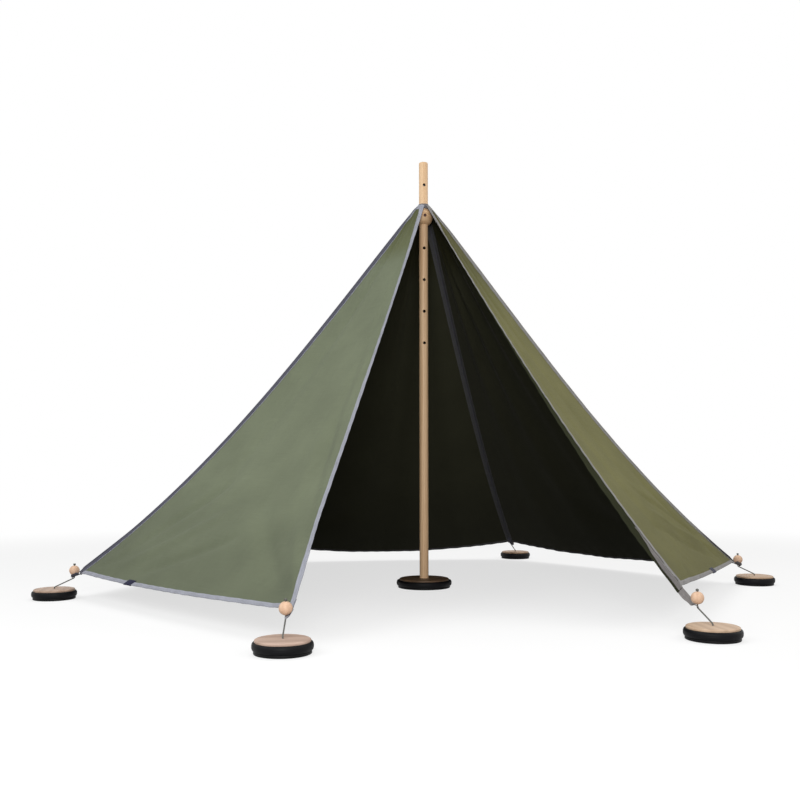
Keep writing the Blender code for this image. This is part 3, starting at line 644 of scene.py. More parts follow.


# The centre foot stands inside the tent, and its cap's darker tone is painted shade.
FOOT_TONES = {
    "": ((112, 88, 66), (84, 64, 46)),
    "_door_right": ((206, 180, 154), (176, 148, 122)),
    "_right": ((196, 168, 142), (166, 138, 112)),
    "_rear_right": ((176, 148, 122), (146, 118, 94)),
    "_rear_left": ((200, 172, 146), (170, 140, 114)),
    "_left": ((186, 160, 140), (156, 130, 112)),
    "_door_left": ((196, 170, 154), (166, 140, 124)),
}
make_foot("centre_foot", "", "centre_foot", BORE_RADIUS, BORE_RADIUS, 0.010, "x")
NAMES = ("door_right", "right", "rear_right", "rear_left", "left", "door_left")
foot_places = {
    name: make_foot("anchor", f"_{name}", f"anchor_foot_{name}", 0.003, 0.009, 0.0, grain)
    for name, grain in zip(NAMES, "yxyxyx")
}
print("feet", [(name, [round(float(v), 2) for v in foot_places[name][:2]]) for name in NAMES])


# %% [markdown]
# ## The pitched shape
# Five canvas panels hang between six ridges. A ridge is a straight line from the collar to a corner
# that sags under the weight of the cloth, most of all below its middle. Everything sewn follows it:
# cloth, tape and straps are all offsets of the same surface, so they can never part or cross. A
# corner has two azimuths, of its foot and of its ridge's head, and shares that scale its reach
# from the pole, its sideways bow, the canvas's setback from its tip and its sag.

# %% Corners and ridges
FOOTPRINT_RADIUS, TIP_INSET, TIP_HEIGHT = 1.31, 0.060, 0.069
RIDGE_SAG = 0.052
CANVAS_SETBACK, HEM_DROP, FOLD_DEPTH = 0.034, 0.055, 0.010
RIDGE_TOP_RADIUS = 0.0243
RIDGE_TOP_HEIGHT = float(centre_of("apex_collar")[2])
Corner = namedtuple("Corner", "name azimuth_deg head_deg reach bow setback slack skew kick",
                    defaults=[1.0, 0.45, 0.0])
CORNERS = (
    Corner("door_right", 296.3, 282.0, 1.0, 0.52, 2.5),
    Corner("right", 354.6, 354.6, 0.985, 0.0, 0.86, 1.0, 0.60),
    Corner("rear_right", 58.7, 58.7, 0.985, 0.0, 1.0),
    Corner("rear_left", 121.7, 121.7, 1.0, 0.0, 1.0),
    Corner("left", 184.8, 184.8, 1.015, 0.0, 0.86, 1.22, 0.47),
    Corner("door_left", 244.0, 276.0, 1.008, -0.44, 1.12, 1.0, 0.45, 0.014),
)


def smooth_step(x):
    """Rises smoothly from 0 to 1 as x goes from 0 to 1."""
    x = np.clip(x, 0.0, 1.0)
    return x * x * (3 - 2 * x)


def corner_axes(corner):
    """Outward and sideways directions of a corner."""
    azimuth = math.radians(corner.azimuth_deg)
    x, y = math.cos(azimuth), math.sin(azimuth)
    return np.array([x, y, 0.0]), np.array([-y, x, 0.0])


UP = np.array([0.0, 0.0, 1.0])


def ridge_points(corner, t):
    """Points on a ridge, t from 0 at the collar to 1 at the tip: the straight line, lowered square
    to itself by the sag, bowed sideways by a share of it, and kicked aside near the bead. The sag's
    shape is 4t(1-t), skewed downwards by (1 + skew (2t-1))."""
    turn = math.radians(corner.head_deg - corner.azimuth_deg)
    head = RIDGE_TOP_RADIUS * math.cos(turn)
    run = FOOTPRINT_RADIUS * corner.reach - TIP_INSET - head
    fall = TIP_HEIGHT - RIDGE_TOP_HEIGHT
    length = math.hypot(run, fall)
    sag = corner.slack * RIDGE_SAG * 4 * t * (1 - t) * (1 + corner.skew * (2 * t - 1))
    out = head + run * t + sag * fall / length
    aside = RIDGE_TOP_RADIUS * math.sin(turn) * (1 - t) + sag * corner.bow
    aside = aside + corner.kick * smooth_step((t - 0.78) / 0.2)
    height = RIDGE_TOP_HEIGHT + fall * t - sag * run / length
    outward, sideways = corner_axes(corner)
    out, aside, height = [np.asarray(share)[..., None] for share in (out, aside, height)]
    return out * outward + aside * sideways + height * UP


def ridge_length(corner):
    """Straight distance from the collar to the corner's tip."""
    run = FOOTPRINT_RADIUS * corner.reach - TIP_INSET - RIDGE_TOP_RADIUS
    return math.hypot(run, TIP_HEIGHT - RIDGE_TOP_HEIGHT)


print("ridges", [round(ridge_length(corner), 3) for corner in CORNERS], "m")


# %% [markdown]
# ## Folds
# Canvas that is held at three points shows three kinds of fold. Pleats fan out from the collar,
# streaks fan out from the pegged corners, and small puckers run along every seam, because the tape
# doesn't stretch and the cloth does. Single creases are added where the photograph shows them.
# A panel is a function of u, across from ridge to ridge, and t, down from the collar. A pleat is
# (u, depth), a streak (side, angle, depth) and a crease (u, t, u, t, spread, depth). A share
# scales the drop of the hem's middle.

# %% Panels with their folds
Panel = namedtuple("Panel", "name hem_drop pleats streaks creases")
PANELS = (
    Panel("right", 0.08, ((0.34, 1.0), (0.62, 0.8)), ((0, 0.55, 1.2), (1, 0.90, 1.0)), (
        (0.50, 0.74, 0.93, 0.90, 0.020, -1.7), (0.30, 0.83, 0.78, 0.95, 0.022, -1.5),
        (0.42, 0.80, 0.86, 0.93, 0.020, 1.4), (0.62, 0.30, 0.55, 0.72, 0.035, 0.5),
        (0.12, 0.60, 0.10, 0.90, 0.014, -0.4), (0.30, 0.97, 0.42, 0.86, 0.012, 0.4),
        (0.88, 0.70, 0.85, 0.955, 0.034, -2.6),
    )),
    Panel("rear_right", 1.0, ((0.30, 1.6), (0.52, 1.8), (0.74, 1.4)), ((0, 0.60, 1.0),), (
        (0.62, 0.10, 0.45, 0.40, 0.016, -0.9), (0.66, 0.10, 0.58, 0.50, 0.020, 0.6),
        (0.35, 0.30, 0.22, 0.85, 0.030, -0.6), (0.80, 0.55, 0.88, 0.90, 0.024, -0.5),
    )),
    Panel("rear", 1.3, ((0.36, 1.6), (0.64, 1.4)), ((1, 0.70, 1.0),), (
        (0.46, 0.08, 0.40, 0.60, 0.022, -0.6), (0.58, 0.10, 0.70, 0.80, 0.026, -0.5),
        (0.15, 0.96, 0.30, 0.78, 0.020, 0.5),
    )),
    Panel("rear_left", 0.82, ((0.42, 1.4), (0.66, 1.2)), ((0, 0.75, 1.0),), (
        (0.50, 0.08, 0.56, 0.55, 0.022, -0.6), (0.82, 0.92, 0.62, 0.70, 0.022, -0.6),
        (0.20, 0.95, 0.34, 0.75, 0.020, 0.5),
    )),
    Panel("left", 0.30, ((0.30, 0.8), (0.86, 1.2)), ((0, 0.45, 1.3), (0, 0.95, 1.1)), (
        (0.82, 0.12, 0.955, 0.50, 0.012, -1.0), (0.80, 0.30, 0.90, 0.58, 0.030, 1.1),
        (0.84, 0.58, 0.935, 0.80, 0.022, -1.3), (0.78, 0.62, 0.86, 0.84, 0.030, 0.9),
        (0.64, 0.765, 0.82, 0.875, 0.048, -1.6), (0.75, 0.850, 0.945, 0.972, 0.040, -2.8),
        (0.90, 0.82, 0.990, 0.945, 0.026, 1.3), (0.12, 0.91, 0.36, 0.72, 0.026, -2.3),
        (0.20, 0.94, 0.50, 0.80, 0.026, 1.9), (0.30, 0.96, 0.64, 0.855, 0.022, -1.7),
        (0.24, 0.22, 0.20, 0.58, 0.045, -1.1),
    )),
)
print("creases", {panel.name: len(panel.creases) for panel in PANELS})

# %% [markdown]
# A panel's surface is the straight line from ridge to ridge at every t, lifted along the panel's
# outward direction by all its folds together. Its edge lies an inset inside the ridges, so the
# same surface serves the cloth, the tape round it and the straps below it.

# %% Panel surfaces
CANVAS_THICKNESS = 0.001
TAPE_WIDTH, TAPE_THICKNESS, TAPE_FOLD = 0.015, 0.0008, 0.0027
BINDING_HALF = CANVAS_THICKNESS / 2 + FIT + TAPE_THICKNESS
RIDGE_GAP = 0.004
PLEAT_HALF, STREAK_SPREAD, STREAK_REACH = 0.055, 0.17, 0.70
RIDGE_FADE, COLLAR_REACH, HEAD_START = 0.11, 0.16, 0.014
BELLY, CREASE_DEPTH, CREASE_FADE = 0.014, 0.006, 0.03
SEAM_RIPPLE, SEAM_PITCH, SEAM_REACH = 0.0005, 0.057, 0.030
HEM_RIPPLE, HEM_PITCH, HEM_REACH = 0.0014, 0.066, 0.045
GATHER_DEPTH, GATHERS, GATHER_REACH = 0.0020, 4.5, 0.13


def ripple(distance, pitch, swing, slow, shift=0.0):
    """A wave along a distance, sin(2 pi distance / pitch + swing sin(distance / slow) + shift). The
    swing of its phase keeps it from looking machined."""
    phase = 2 * math.pi * distance / pitch + swing * np.sin(distance / slow)
    return np.sin(phase + shift)


class Sail:
    """One panel as a surface between two ridges."""

    def __init__(self, index):
        self.panel = PANELS[index]
        self.first, self.second = CORNERS[index], CORNERS[(index + 1) % 6]
        self.length = (ridge_length(self.first) + ridge_length(self.second)) / 2
        half, head_half = [
            math.radians((getattr(self.second, key) - getattr(self.first, key)) % 360) / 2
            for key in ("azimuth_deg", "head_deg")
        ]
        self.wrap = RIDGE_TOP_RADIUS * (1 - math.cos(head_half))
        lean = math.acos((RIDGE_TOP_HEIGHT - TIP_HEIGHT) / self.length)
        self.edge_sine = math.sqrt(1 - (math.sin(lean) * math.sin(half)) ** 2)
        one, two = [ridge_points(c, np.array([0.0, 1.0])) for c in (self.first, self.second)]
        down = (one[1] + two[1] - one[0] - two[0]) / 2
        self.outward = unit(np.cross(down, two[1] - one[1]))

    def width(self, t):
        """Distance from ridge to ridge."""
        return np.linalg.norm(ridge_points(self.second, t) - ridge_points(self.first, t), axis=-1)

    def broad_folds(self, u, t):
        """The turn round the collar, the slack belly, pleats as bells across u, and streaks as
        bells round an angle at the lower corners. All but the belly fade at the ridges."""
        width = self.width(t)
        fade = smooth_step(np.minimum(u, 1 - u) * width / RIDGE_FADE)
        fade = fade * (1 - 0.65 * smooth_step((t - 0.75) / 0.25))
        lift = np.zeros_like(u * t)
        for place, depth in self.panel.pleats:
            lift = lift - depth * bell(u - place, PLEAT_HALF) * (1 - 0.5 * t)
        for side, angle, depth in self.panel.streaks:
            along = (u if side == 0 else 1 - u) * width
            above = np.maximum(1 - t, 0.0) * self.length
            turn = (np.arctan2(above, along + FIT) - angle) / STREAK_SPREAD
            reach = np.hypot(along, above) / STREAK_REACH
            lift = lift + depth * np.exp(-(turn**2) - reach**2)
        wrap = self.wrap * smooth_step(1 - t / COLLAR_REACH)
        belly = BELLY * np.sin(math.pi * np.clip(t, 0, 1))
        return FOLD_DEPTH * fade * lift + (wrap - belly) * 4 * u * (1 - u)

    def fine_folds(self, u, t):
        """Creases as bells round short lines, and puckers as ripples that die away within a few
        centimetres of a seam or the hem, plus gathers just under the collar."""
        width, along = self.width(t), t * self.length
        lift = np.zeros_like(u * t)
        x, y = (u - 0.5) * width, along
        for u0, t0, u1, t1, spread, depth in self.panel.creases:
            ends = np.array([t0, t1])
            ax, bx = (np.array([u0, u1]) - 0.5) * self.width(ends)
            ay, by = ends * self.length
            run = (bx - ax) ** 2 + (by - ay) ** 2
            s = np.clip(((x - ax) * (bx - ax) + (y - ay) * (by - ay)) / run, 0.0, 1.0)
            off = (x - ax - s * (bx - ax)) ** 2 + (y - ay - s * (by - ay)) ** 2
            taper = np.sqrt(4 * s * (1 - s) + 0.05)
            lift = lift + CREASE_DEPTH * depth * taper * np.exp(-off / spread**2)
        from_ridge = np.minimum(u, 1 - u) * width
        lift = lift * smooth_step(from_ridge / CREASE_FADE)
        pucker = ripple(along, SEAM_PITCH, 2.1, 0.061, 5 * (u > 0.5)) * smooth_step(t / 0.1)
        lift = lift + SEAM_RIPPLE * pucker * bell(from_ridge, SEAM_REACH)
        from_hem = np.abs(1 - t) * self.length
        lift = lift + HEM_RIPPLE * ripple(x, HEM_PITCH, 1.9, 0.083) * bell(from_hem, HEM_REACH)
        gather = np.sin(2 * math.pi * (GATHERS * u + 0.6 * np.sin(3 * u)))
        return lift + GATHER_DEPTH * gather * bell(t, GATHER_REACH) * smooth_step(t / 0.03)

    def points(self, u, t, height=0.0):
        """Points on the middle of the cloth: the straight line between the ridges, plus the folds
        along the panel's outward direction. A height lifts them along the cloth's normal."""
        first = ridge_points(self.first, t)
        across = ridge_points(self.second, t) - first
        lift = self.broad_folds(u, t) + self.fine_folds(u, t)
        middle = first + across * np.asarray(u)[..., None] + self.outward * lift[..., None]
        return middle + height * self.normals(u, t) if height else middle

    def normals(self, u, t):
        """Outward unit normals, from small steps across and down."""
        step = 0.002
        across = self.points(u + step, t) - self.points(u - step, t)
        down = self.points(u, t + step) - self.points(u, t - step)
        return unit(np.cross(down, across))

    def share(self, t, inset):
        """The share u of an inset from the panel's first edge."""
        return (RIDGE_GAP / 2 + inset) / (self.width(t) * self.edge_sine)

    def near_edge(self, second, t, inset, height):
        """Points at insets from the first or the second edge, lifted by a height."""
        u = self.share(t, inset)
        return self.points(1 - u if second else u, t, height)

    def place(self, q, v, inset):
        """u and t of a share q across and v down, between lines an inset inside the edges."""
        setback = CANVAS_SETBACK * (self.first.setback * (1 - q) + self.second.setback * q)
        t = v * (1 - (setback - HEM_DROP * self.panel.hem_drop * 4 * q * (1 - q)) / self.length)
        edge = self.share(t, inset)
        return edge + (1 - 2 * edge) * q, t

    def span(self, inset):
        """Shares v where a line an inset inside the edge starts and ends."""
        return inset / TAPE_WIDTH * HEAD_START, 1 - inset / self.length

    def edge_line(self, inset, rows=150, columns=110, head=10):
        """u and t along the panel's whole edge at an inset: down the first ridge, along the hem,
        up the second ridge and over the head."""
        top, hem = self.span(inset)
        down = np.linspace(top, hem, rows)
        along = np.linspace(0, 1, columns)[1:-1]
        over = np.linspace(1, 0, head + 2)[1:-1]
        q = np.concatenate([np.zeros(rows), along, np.ones(rows), over])
        v = np.concatenate([down, np.full(columns - 2, hem), down[::-1], np.full(head, top)])
        return self.place(q, v, inset)


sails = [Sail(index) for index in range(5)]
print("panels", [(sail.panel.name, round(sail.length, 2)) for sail in sails])


# %% [markdown]
# ## Canvas
# The cloth is a plain-weave cotton of about 1 mm. Threads go over and under each other in turn, so
# the bump is a checkerboard of small rounded bars: where the two sine waves have the same sign the
# warp lies on top, and elsewhere the weft. Slubs, which are thicker stretches of yarn, run both
# ways, and a slow noise gives the dye its unevenness. The cloth is darker under the collar, where
# the gathers hold their shade, and near the hem: both are painted shade. It all follows the
# UV map, in metres.

# %% Canvas material
THREAD, SHADE_LENGTH = 0.0011, 1.8
# Painted shade: the cloth darkens under the collar and towards the hem, and the right panel's is
# deeper.
HEM_PAINTED_SHADE = ((0.74, (1, 1, 1)), (0.97, (0.91, 0.91, 0.91)))
CLOTH_PAINTED_SHADE = ((0.04, (0.78, 0.76, 0.67)), (0.12, (0.88, 0.87, 0.78)), (0.17, (1, 1, 1)), *HEM_PAINTED_SHADE)
DEEP_PAINTED_SHADE = ((0.04, (0.72, 0.71, 0.66)), (0.19, (0.86, 0.87, 0.86)), (0.30, (1, 1, 1)), *HEM_PAINTED_SHADE)


def canvas_cloth(name, tone, shade_steps=CLOTH_PAINTED_SHADE):
    """Olive canvas in a tone of screen levels. The last argument is (share of the way down, shares
    of the tone) in steps: painted shade under the collar and towards the hem."""
    look = Look(name, 0.92, 0.05, sheen=0.04)
    look.shader["Sheen Roughness"].default_value = 0.6
    uv, u, v = look.metres()
    u_wave, v_wave = [(way * (math.pi / THREAD)).math("SINE") for way in (u, v)]
    warp_over = (u_wave * v_wave).math("GREATER_THAN", 0.0)
    weave = add_node(look.tree, "Mix", {0: warp_over, 2: abs(v_wave), 3: abs(u_wave)})
    slubs = [look.noise(look.mapping(uv, Scale=scale), 1.0, 2.0)
             for scale in ((9.0, 900.0, 1.0), (900.0, 9.0, 1.0))]
    slub = slubs[0] * 0.5 + slubs[1] * 0.5
    shade = slub * 0.6 + look.noise(uv, 5.0, 5.0) * 0.4
    colour = look.ramp(shade, (0.36, scaled(tone, 0.93)), (0.64, scaled(tone, 1.07)))
    gaps = look.between(weave, 0.45, 0.0, 0.0, 0.30)
    colour = look.mix(gaps, colour, linear(scaled(tone, 0.72)))
    # Painted shade, darker under the collar and towards the hem.
    down = v.math("DIVIDE", -SHADE_LENGTH)
    shading = look.ramp(down, *[(place, scaled(shares, 255)) for place, shares in shade_steps])
    colour = look.mix(1.0, colour, shading, "MULTIPLY")
    return look.finish(colour, slub * 0.8 + weave * 0.6, 0.0004, 0.5)


# Painted light: the panels are one canvas, and each tone is that canvas as lit on its own side.
CLOTH_TONES_AS_LIT = {
    "right": (117, 115, 75), "rear_right": (116, 116, 86), "rear": (114, 117, 90),
    "rear_left": (113, 118, 93), "left": (114, 121, 99),
}
# Painted shade: the canvas's inner face is drawn dark, as the inside of the tent is in shade.
inner_shade = canvas_cloth("canvas_lining", (55, 55, 41))


# %% Canvas pieces
def thicken(piece):
    """Gives a sheet the cloth's thickness, half of it to either side."""
    solidify = piece.modifiers.new("cloth", "SOLIDIFY")
    solidify.thickness = CANVAS_THICKNESS
    solidify.offset = 0.0
    return solidify


def make_canvas(sail, rows=150, columns=110):
    """The cloth of a panel: a grid over the whole surface, from just inside the tape's fold, that
    is then made 1 mm thick, with a dark inner face, painted shade, as the second material. Rows are
    closer together near the collar, and the columns run backwards, so that the faces look outwards."""
    inset = TAPE_FOLD + FIT
    top, hem = sail.span(inset)
    down = top + (hem - top) * np.linspace(0, 1, rows)[:, None] ** 1.15
    q, v = np.broadcast_arrays(np.linspace(0, 1, columns)[None, :], down)
    u, t = sail.place(q, v, inset)
    points = sail.points(u, t)
    uv = np.stack([(u - 0.5) * sail.width(t), -t * sail.length], -1)
    panel = sail.panel.name
    cloth = grid_piece(f"cloth_{panel}", points[:, ::-1], uv[:, ::-1], closed=False)
    across, down = np.diff(points, axis=1)[:-1], np.diff(points, axis=0)[:, :-1]
    width, length = [
        float(np.linalg.norm(steps, axis=-1).sum(way).max())
        for steps, way in ((across, 1), (down, 0))
    ]
    area = float(np.linalg.norm(np.cross(across, down), axis=-1).sum())
    thicken(cloth).material_offset = 1
    shade_steps = DEEP_PAINTED_SHADE if panel == "right" else CLOTH_PAINTED_SHADE
    canvas = canvas_cloth(f"canvas_cloth_{panel}", CLOTH_TONES_AS_LIT[panel], shade_steps)
    dress(cloth, canvas, "canvas", "tent", f"canvas_{panel}")
    cloth.data.materials.append(inner_shade)
    return cloth, (width, length), area


cloths = {sail.panel.name: make_canvas(sail) for sail in sails}
for name, (cloth, flat, area) in cloths.items():
    print("cloth", name, [round(size, 3) for size in flat], "m, area", round(area, 3), "m2")


# %% [markdown]
# ## Tape
# Every edge is bound with a woven tape, folded in half over the canvas and sewn through. Its ribs
# run across it, one every 1.3 mm, and the line of stitches lies 3 mm inside its free edge.
# The UV map holds metres: u goes round the tape's section and v along it, so one material can draw
# the ribs, their grooves and every single stitch.

# %% Tape material
RIB, STITCH_PITCH = 0.0013, 0.0036


def woven_tape(name, tone, stitch_lines=(), soiled=None):
    """Ribbed tape in a tone of screen levels, with stitches at given distances across it. The last
    argument is (start, end, share): between those distances along it, the tape darkens to a share,
    as painted shade."""
    look = Look(name, 0.85, 0.08, sheen=0.04)
    uv, u, v = look.metres()
    ribs = abs((v * (math.pi / RIB)).math("SINE"))
    yarn = look.noise(look.mapping(uv, Scale=(700.0, 60.0, 1.0)), 1.0, 3.0)
    shade = yarn * 0.5 + look.noise(uv, 24.0, 4.0) * 0.5
    colour = look.ramp(shade, (0.34, scaled(tone, 0.90)), (0.66, scaled(tone, 1.06)))
    grooves = look.between(ribs, 0.5, 0.0, 0.0, 0.35)
    colour = look.mix(grooves, colour, linear(scaled(tone, 0.75)))
    height = ribs * 0.5
    turn = v.math("DIVIDE", STITCH_PITCH).math("FRACT")
    shown = look.between(turn, 0.74, 0.70)
    thread = linear([min(1.10 * level + 8, 255) for level in tone])
    for line in stitch_lines:
        off = abs(u - line)
        stitch = look.between(off, 0.00055, 0.0003) * shown
        colour = look.mix(stitch, colour, thread)
        height = height + look.between(off, 0.0012, 0.0002, 0.0, -0.5)
        height = stitch * 0.9 + height
    # Painted shade along part of the tape.
    if soiled:
        start, end, share = soiled
        colour = look.mix(look.between(v, start, end), colour, linear(scaled(tone, share)))
    return look.finish(colour, height, 0.0005, 0.6)


# Painted light and shade: these are copies of one tape. The right panel's is a shaded copy of the
# left one's, and the rear panels' tape, darker still, is painted shade.
TAPE_TONES = {"right": (144, 142, 141), "left": (157, 159, 169)}
# Painted shade: the seam covers are drawn dark, as the shaded side of the tape at the ridges.
SHADED_TAPE_TONE, SEAM_SHADE_TONE = (80, 80, 81), (86, 86, 97)


# %% Binding pieces
def tape_section():
    """Inset and height round the folded tape: out over the face, round the fold in a half circle,
    back over the other face, and home along the channel that holds the cloth."""
    inside = CANVAS_THICKNESS / 2 + FIT
    lip = TAPE_THICKNESS / 2
    face = np.linspace(TAPE_WIDTH - lip, BINDING_HALF, 7)
    return np.concatenate([
        np.stack([face, np.full(7, BINDING_HALF)], -1),
        arc((BINDING_HALF, 0.0), BINDING_HALF, 90, 270, 9)[1:-1],
        np.stack([face[::-1], np.full(7, -BINDING_HALF)], -1),
        arc((TAPE_WIDTH - lip, -inside - lip), lip, -90, 90, 5)[1:],
        [(TAPE_FOLD, -inside), (TAPE_FOLD, inside)],
        arc((TAPE_WIDTH - lip, inside + lip), lip, -90, 90, 5)[:-1],
    ])


def sewn_band(name, sail, section, line, loop):
    """A band whose section of (inset, height) points follows the panel: each point lies on the
    line at its own inset, lifted along the cloth's normal by its own height. loop says whether
    the line comes back to its start."""
    points = np.stack([sail.points(*line(inset), height) for inset, height in section], axis=1)
    along = travelled(points[:, int(np.argmin(np.abs(section[:, 0])))], loop)
    uv = uv_grid(travelled(section, True), along)
    band = grid_piece(name, points, uv, round_rows=loop, round_columns=True, capped=not loop)
    return band, float(along[-1])


SECTION = tape_section()
FACE = TAPE_WIDTH - TAPE_THICKNESS / 2 - BINDING_HALF
STITCHES = (0.003, 2 * FACE + math.pi * BINDING_HALF - 0.003)
bindings = {}
for sail in sails:
    name = sail.panel.name
    edge_tape = woven_tape(f"edge_tape_{name}", TAPE_TONES.get(name, SHADED_TAPE_TONE), STITCHES)
    bindings[name], length = sewn_band(f"tape_{name}", sail, SECTION, sail.edge_line, True)
    dress(bindings[name], edge_tape, "tape", "tent", f"binding_{name}")
    print("tape", name, round(length, 3), "m round")


# %% [markdown]
# ## Seam covers
# Where two panels meet, a tape drawn dark as painted shade is sewn over the seam. It lies on both
# bound edges, and its middle stands up as a narrow fin, where the two layers under it are pinched.
# Its section is worked out on both panels at once, so it closes the slit between them for the whole
# length of the ridge.

# %% Seam cover pieces
COVER, COVER_GAP, FLAP_INNER = 0.0009, 0.0001, 0.0015
FIN_HALF, FIN_ROOT, FIN_FOOT, FIN_LEAST = 0.0013, 0.0018, 0.0022, 0.0036
# The reach of the flaps, the height of the fin and its rise near the corner, tone, and the span of
# painted shade
Seam = namedtuple("Seam", "flap fin rise tone soiled", defaults=[0.0, SEAM_SHADE_TONE, None])
SEAMS = {
    1: Seam(0.0085, 0.0072, 0.0, TAPE_TONES["right"], (1.58, 1.70, 0.42)),
    2: Seam(0.0085, 0.0070), 3: Seam(0.0085, 0.0070), 4: Seam(0.0122, 0.0056, 0.0032),
}
FIN_LINE = ((-1, 0.25), (-1, 0.6), (-1, 0.9), (0, 1.0), (1, 0.9), (1, 0.6), (1, 0.25))
SEAM_END = 0.0305


def make_seam(index, rows=160):
    """One seam cover. Its flaps are points of each panel lifted along its normal, and its fin
    is drawn square to the ridge: sideways, and up along the sum of both normals."""
    seam, corner = SEAMS[index], CORNERS[index]
    one, two = sails[index - 1], sails[index]
    end = SEAM_END / ridge_length(corner)
    t = np.linspace(0.006, 1 - end, rows)
    ridge = ridge_points(corner, t)
    up = unit(one.normals(np.full(rows, 0.998), t) + two.normals(np.full(rows, 0.002), t))
    side = unit(np.cross(np.gradient(ridge, axis=0), up))
    side *= np.sign((side * (two.points(0.1 + 0 * t, t) - ridge)).sum(-1, keepdims=True))
    grown = (seam.fin - FIN_LEAST) * smooth_step(t / 0.07)
    grown = grown + seam.rise * smooth_step((t - 0.84) / 0.10)
    height = FIN_LEAST + grown * (1 - 0.9 * smooth_step((t - 1 + end + 0.014) / 0.013))
    wave = 0.0006 * np.sin(t * 61.0) + 0.0004 * np.sin(t * 143.0)

    def flaps(sail, second, reaches, height):
        return [sail.near_edge(second, t, reach, height) for reach in reaches]

    def fin(aside, share):
        lean = (aside * FIN_HALF + wave * share)[:, None] * side
        return ridge + lean + (FIN_FOOT + (height - FIN_FOOT) * share)[:, None] * up

    inward, outward = (seam.flap, FLAP_INNER), (FLAP_INNER, seam.flap)
    under = BINDING_HALF + COVER_GAP
    over = under + COVER
    ring = flaps(one, True, inward, over) + [fin(*spot) for spot in FIN_LINE]
    ring += flaps(two, False, outward, over) + flaps(two, False, inward, under)
    ring += [ridge + FIN_ROOT * up] + flaps(one, True, outward, under)
    points = np.stack(ring, axis=1)
    uv = uv_grid(travelled(points[rows // 2], True), travelled(ridge))
    piece = grid_piece(f"seam_{corner.name}", points, uv, round_columns=True, capped=True)
    stitches = (0.0016, 0.0125 + 2 * seam.flap)
    seam_tape = woven_tape(f"seam_tape_{index}", seam.tone, stitches, seam.soiled)
    dress(piece, seam_tape, "tape", "tent")
    return piece


seams = {CORNERS[index].name: make_seam(index) for index in SEAMS}
print("seam covers", list(seams))

# %% [markdown]
# The doorway's right edge has a facing: a strip of the same canvas that is sewn inside the tape and
# hangs down towards the opening. It is widest near the ground, and a second tape lies on it there,
# which runs out into the corner's strap.

# %% Door facing
def under_tape(sail, second, t, inset):
    """Points a small gap under the tape, at insets from one of the panel's edges."""
    return sail.near_edge(second, t, inset, -(BINDING_HALF + FIT))


def edge_frame(sail, t):
    """Points under the panel's first edge, the upward direction square to the ridge there, and the
    direction square to both, towards the doorway."""
    before, after = [ridge_points(sail.first, t + step) for step in (-0.002, 0.002)]
    along = unit(after - before)
    lean = unit(UP - along[..., 2:] * along)
    return under_tape(sail, False, t, 0.0), lean, np.cross(along, lean)


def make_facing(name, material, slot, start, width, lift, rows=140, columns=7):
    """A strip that hangs from the doorway's right edge: edge - w(t) (s lean - 0.15 s^2 aside), with
    s from 0 to 1 across it, and a width w(t) from 2 mm up to the full width. A lift moves it
    towards the doorway."""
    sail = sails[0]
    end = CANVAS_SETBACK * sail.first.setback / sail.length
    t = np.linspace(start, 1 - end + 0.002, rows)
    edge, lean, aside = edge_frame(sail, t)
    wide = 0.002 + (width - 0.002) * smooth_step((t - start - 0.01) / (0.90 - start))
    wide = wide * (1 + 0.05 * np.sin(t * 47.0) * smooth_step((t - start) / 0.2))
    s = np.linspace(0.0, 1.0, columns)[None, :, None]
    drop = wide[:, None, None] * (s * lean[:, None] - 0.15 * s**2 * aside[:, None])
    points = (edge + lift * aside)[:, None] - drop
    uv = np.stack([s[..., 0] * wide[:, None], -t[:, None] * sail.length + 0 * s[..., 0]], -1)
    piece = grid_piece(name, points, uv, closed=False)
    thicken(piece)
    dress(piece, material, slot, "tent")
    return piece


# Painted shade: the facing's canvas and its tape are drawn darker than the outside, as they hang in
# shade.
shaded_facing_cloth = canvas_cloth("canvas_facing", (52, 54, 37))
facing_tape = woven_tape("facing_tape", (128, 124, 123), (0.0022,))
facings = [
    make_facing("door_facing", shaded_facing_cloth, "canvas", 0.24, 0.022, 0.0),
    make_facing("door_facing_tape", facing_tape, "tape", 0.83, 0.014, 0.0013),
]
print("door facing", [len(piece.data.polygons) for piece in facings], "faces")


# %% [markdown]
# ## Collar
# The five panels are sewn to a short sleeve of tape that goes round the pole and rests on the ball.
# It is turned like a ring, but its ribs run upwards, so its UV map is swapped to suit the tape.

# %% Collar piece
SLEEVE_RADIUS, SLEEVE_EASE = 0.0195, 0.0005
low, high = [corner.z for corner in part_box("apex_collar")]
section = eased([
    (BORE_RADIUS, low), (SLEEVE_RADIUS, low, SLEEVE_EASE), (SLEEVE_RADIUS, high, SLEEVE_EASE),
    (BORE_RADIUS, high),
])
collar = turned("tape_collar", section, 96)
layer = collar.data.uv_layers[0].data
spots = np.empty(len(layer) * 2)
layer.foreach_get("uv", spots)
layer.foreach_set("uv", spots.reshape(-1, 2)[:, ::-1].ravel())
collar_tape = woven_tape("collar_tape", (122, 120, 124), (0.0045, 0.0175))
dress(collar, collar_tape, "tape", "tent", "apex_collar")
print("collar", round(high - low, 4), "m high")


# %% [markdown]
# ## Corner straps
# Under each corner a doubled strap is sewn to the tape. Between two panels it is folded along the
# ridge. Past the canvas it bends down, flattens, and ends in a rounded tip with an eyelet. We lay
# rows of points across it: the first rows follow the tape's underside, and the others follow a
# smooth curve that joins the ridge's slope to the tip's slope of 27 degrees. Each strap hangs in
# its own way: it is tilted about its length, and under the bead it is cupped round it and swung to
# one side of it.

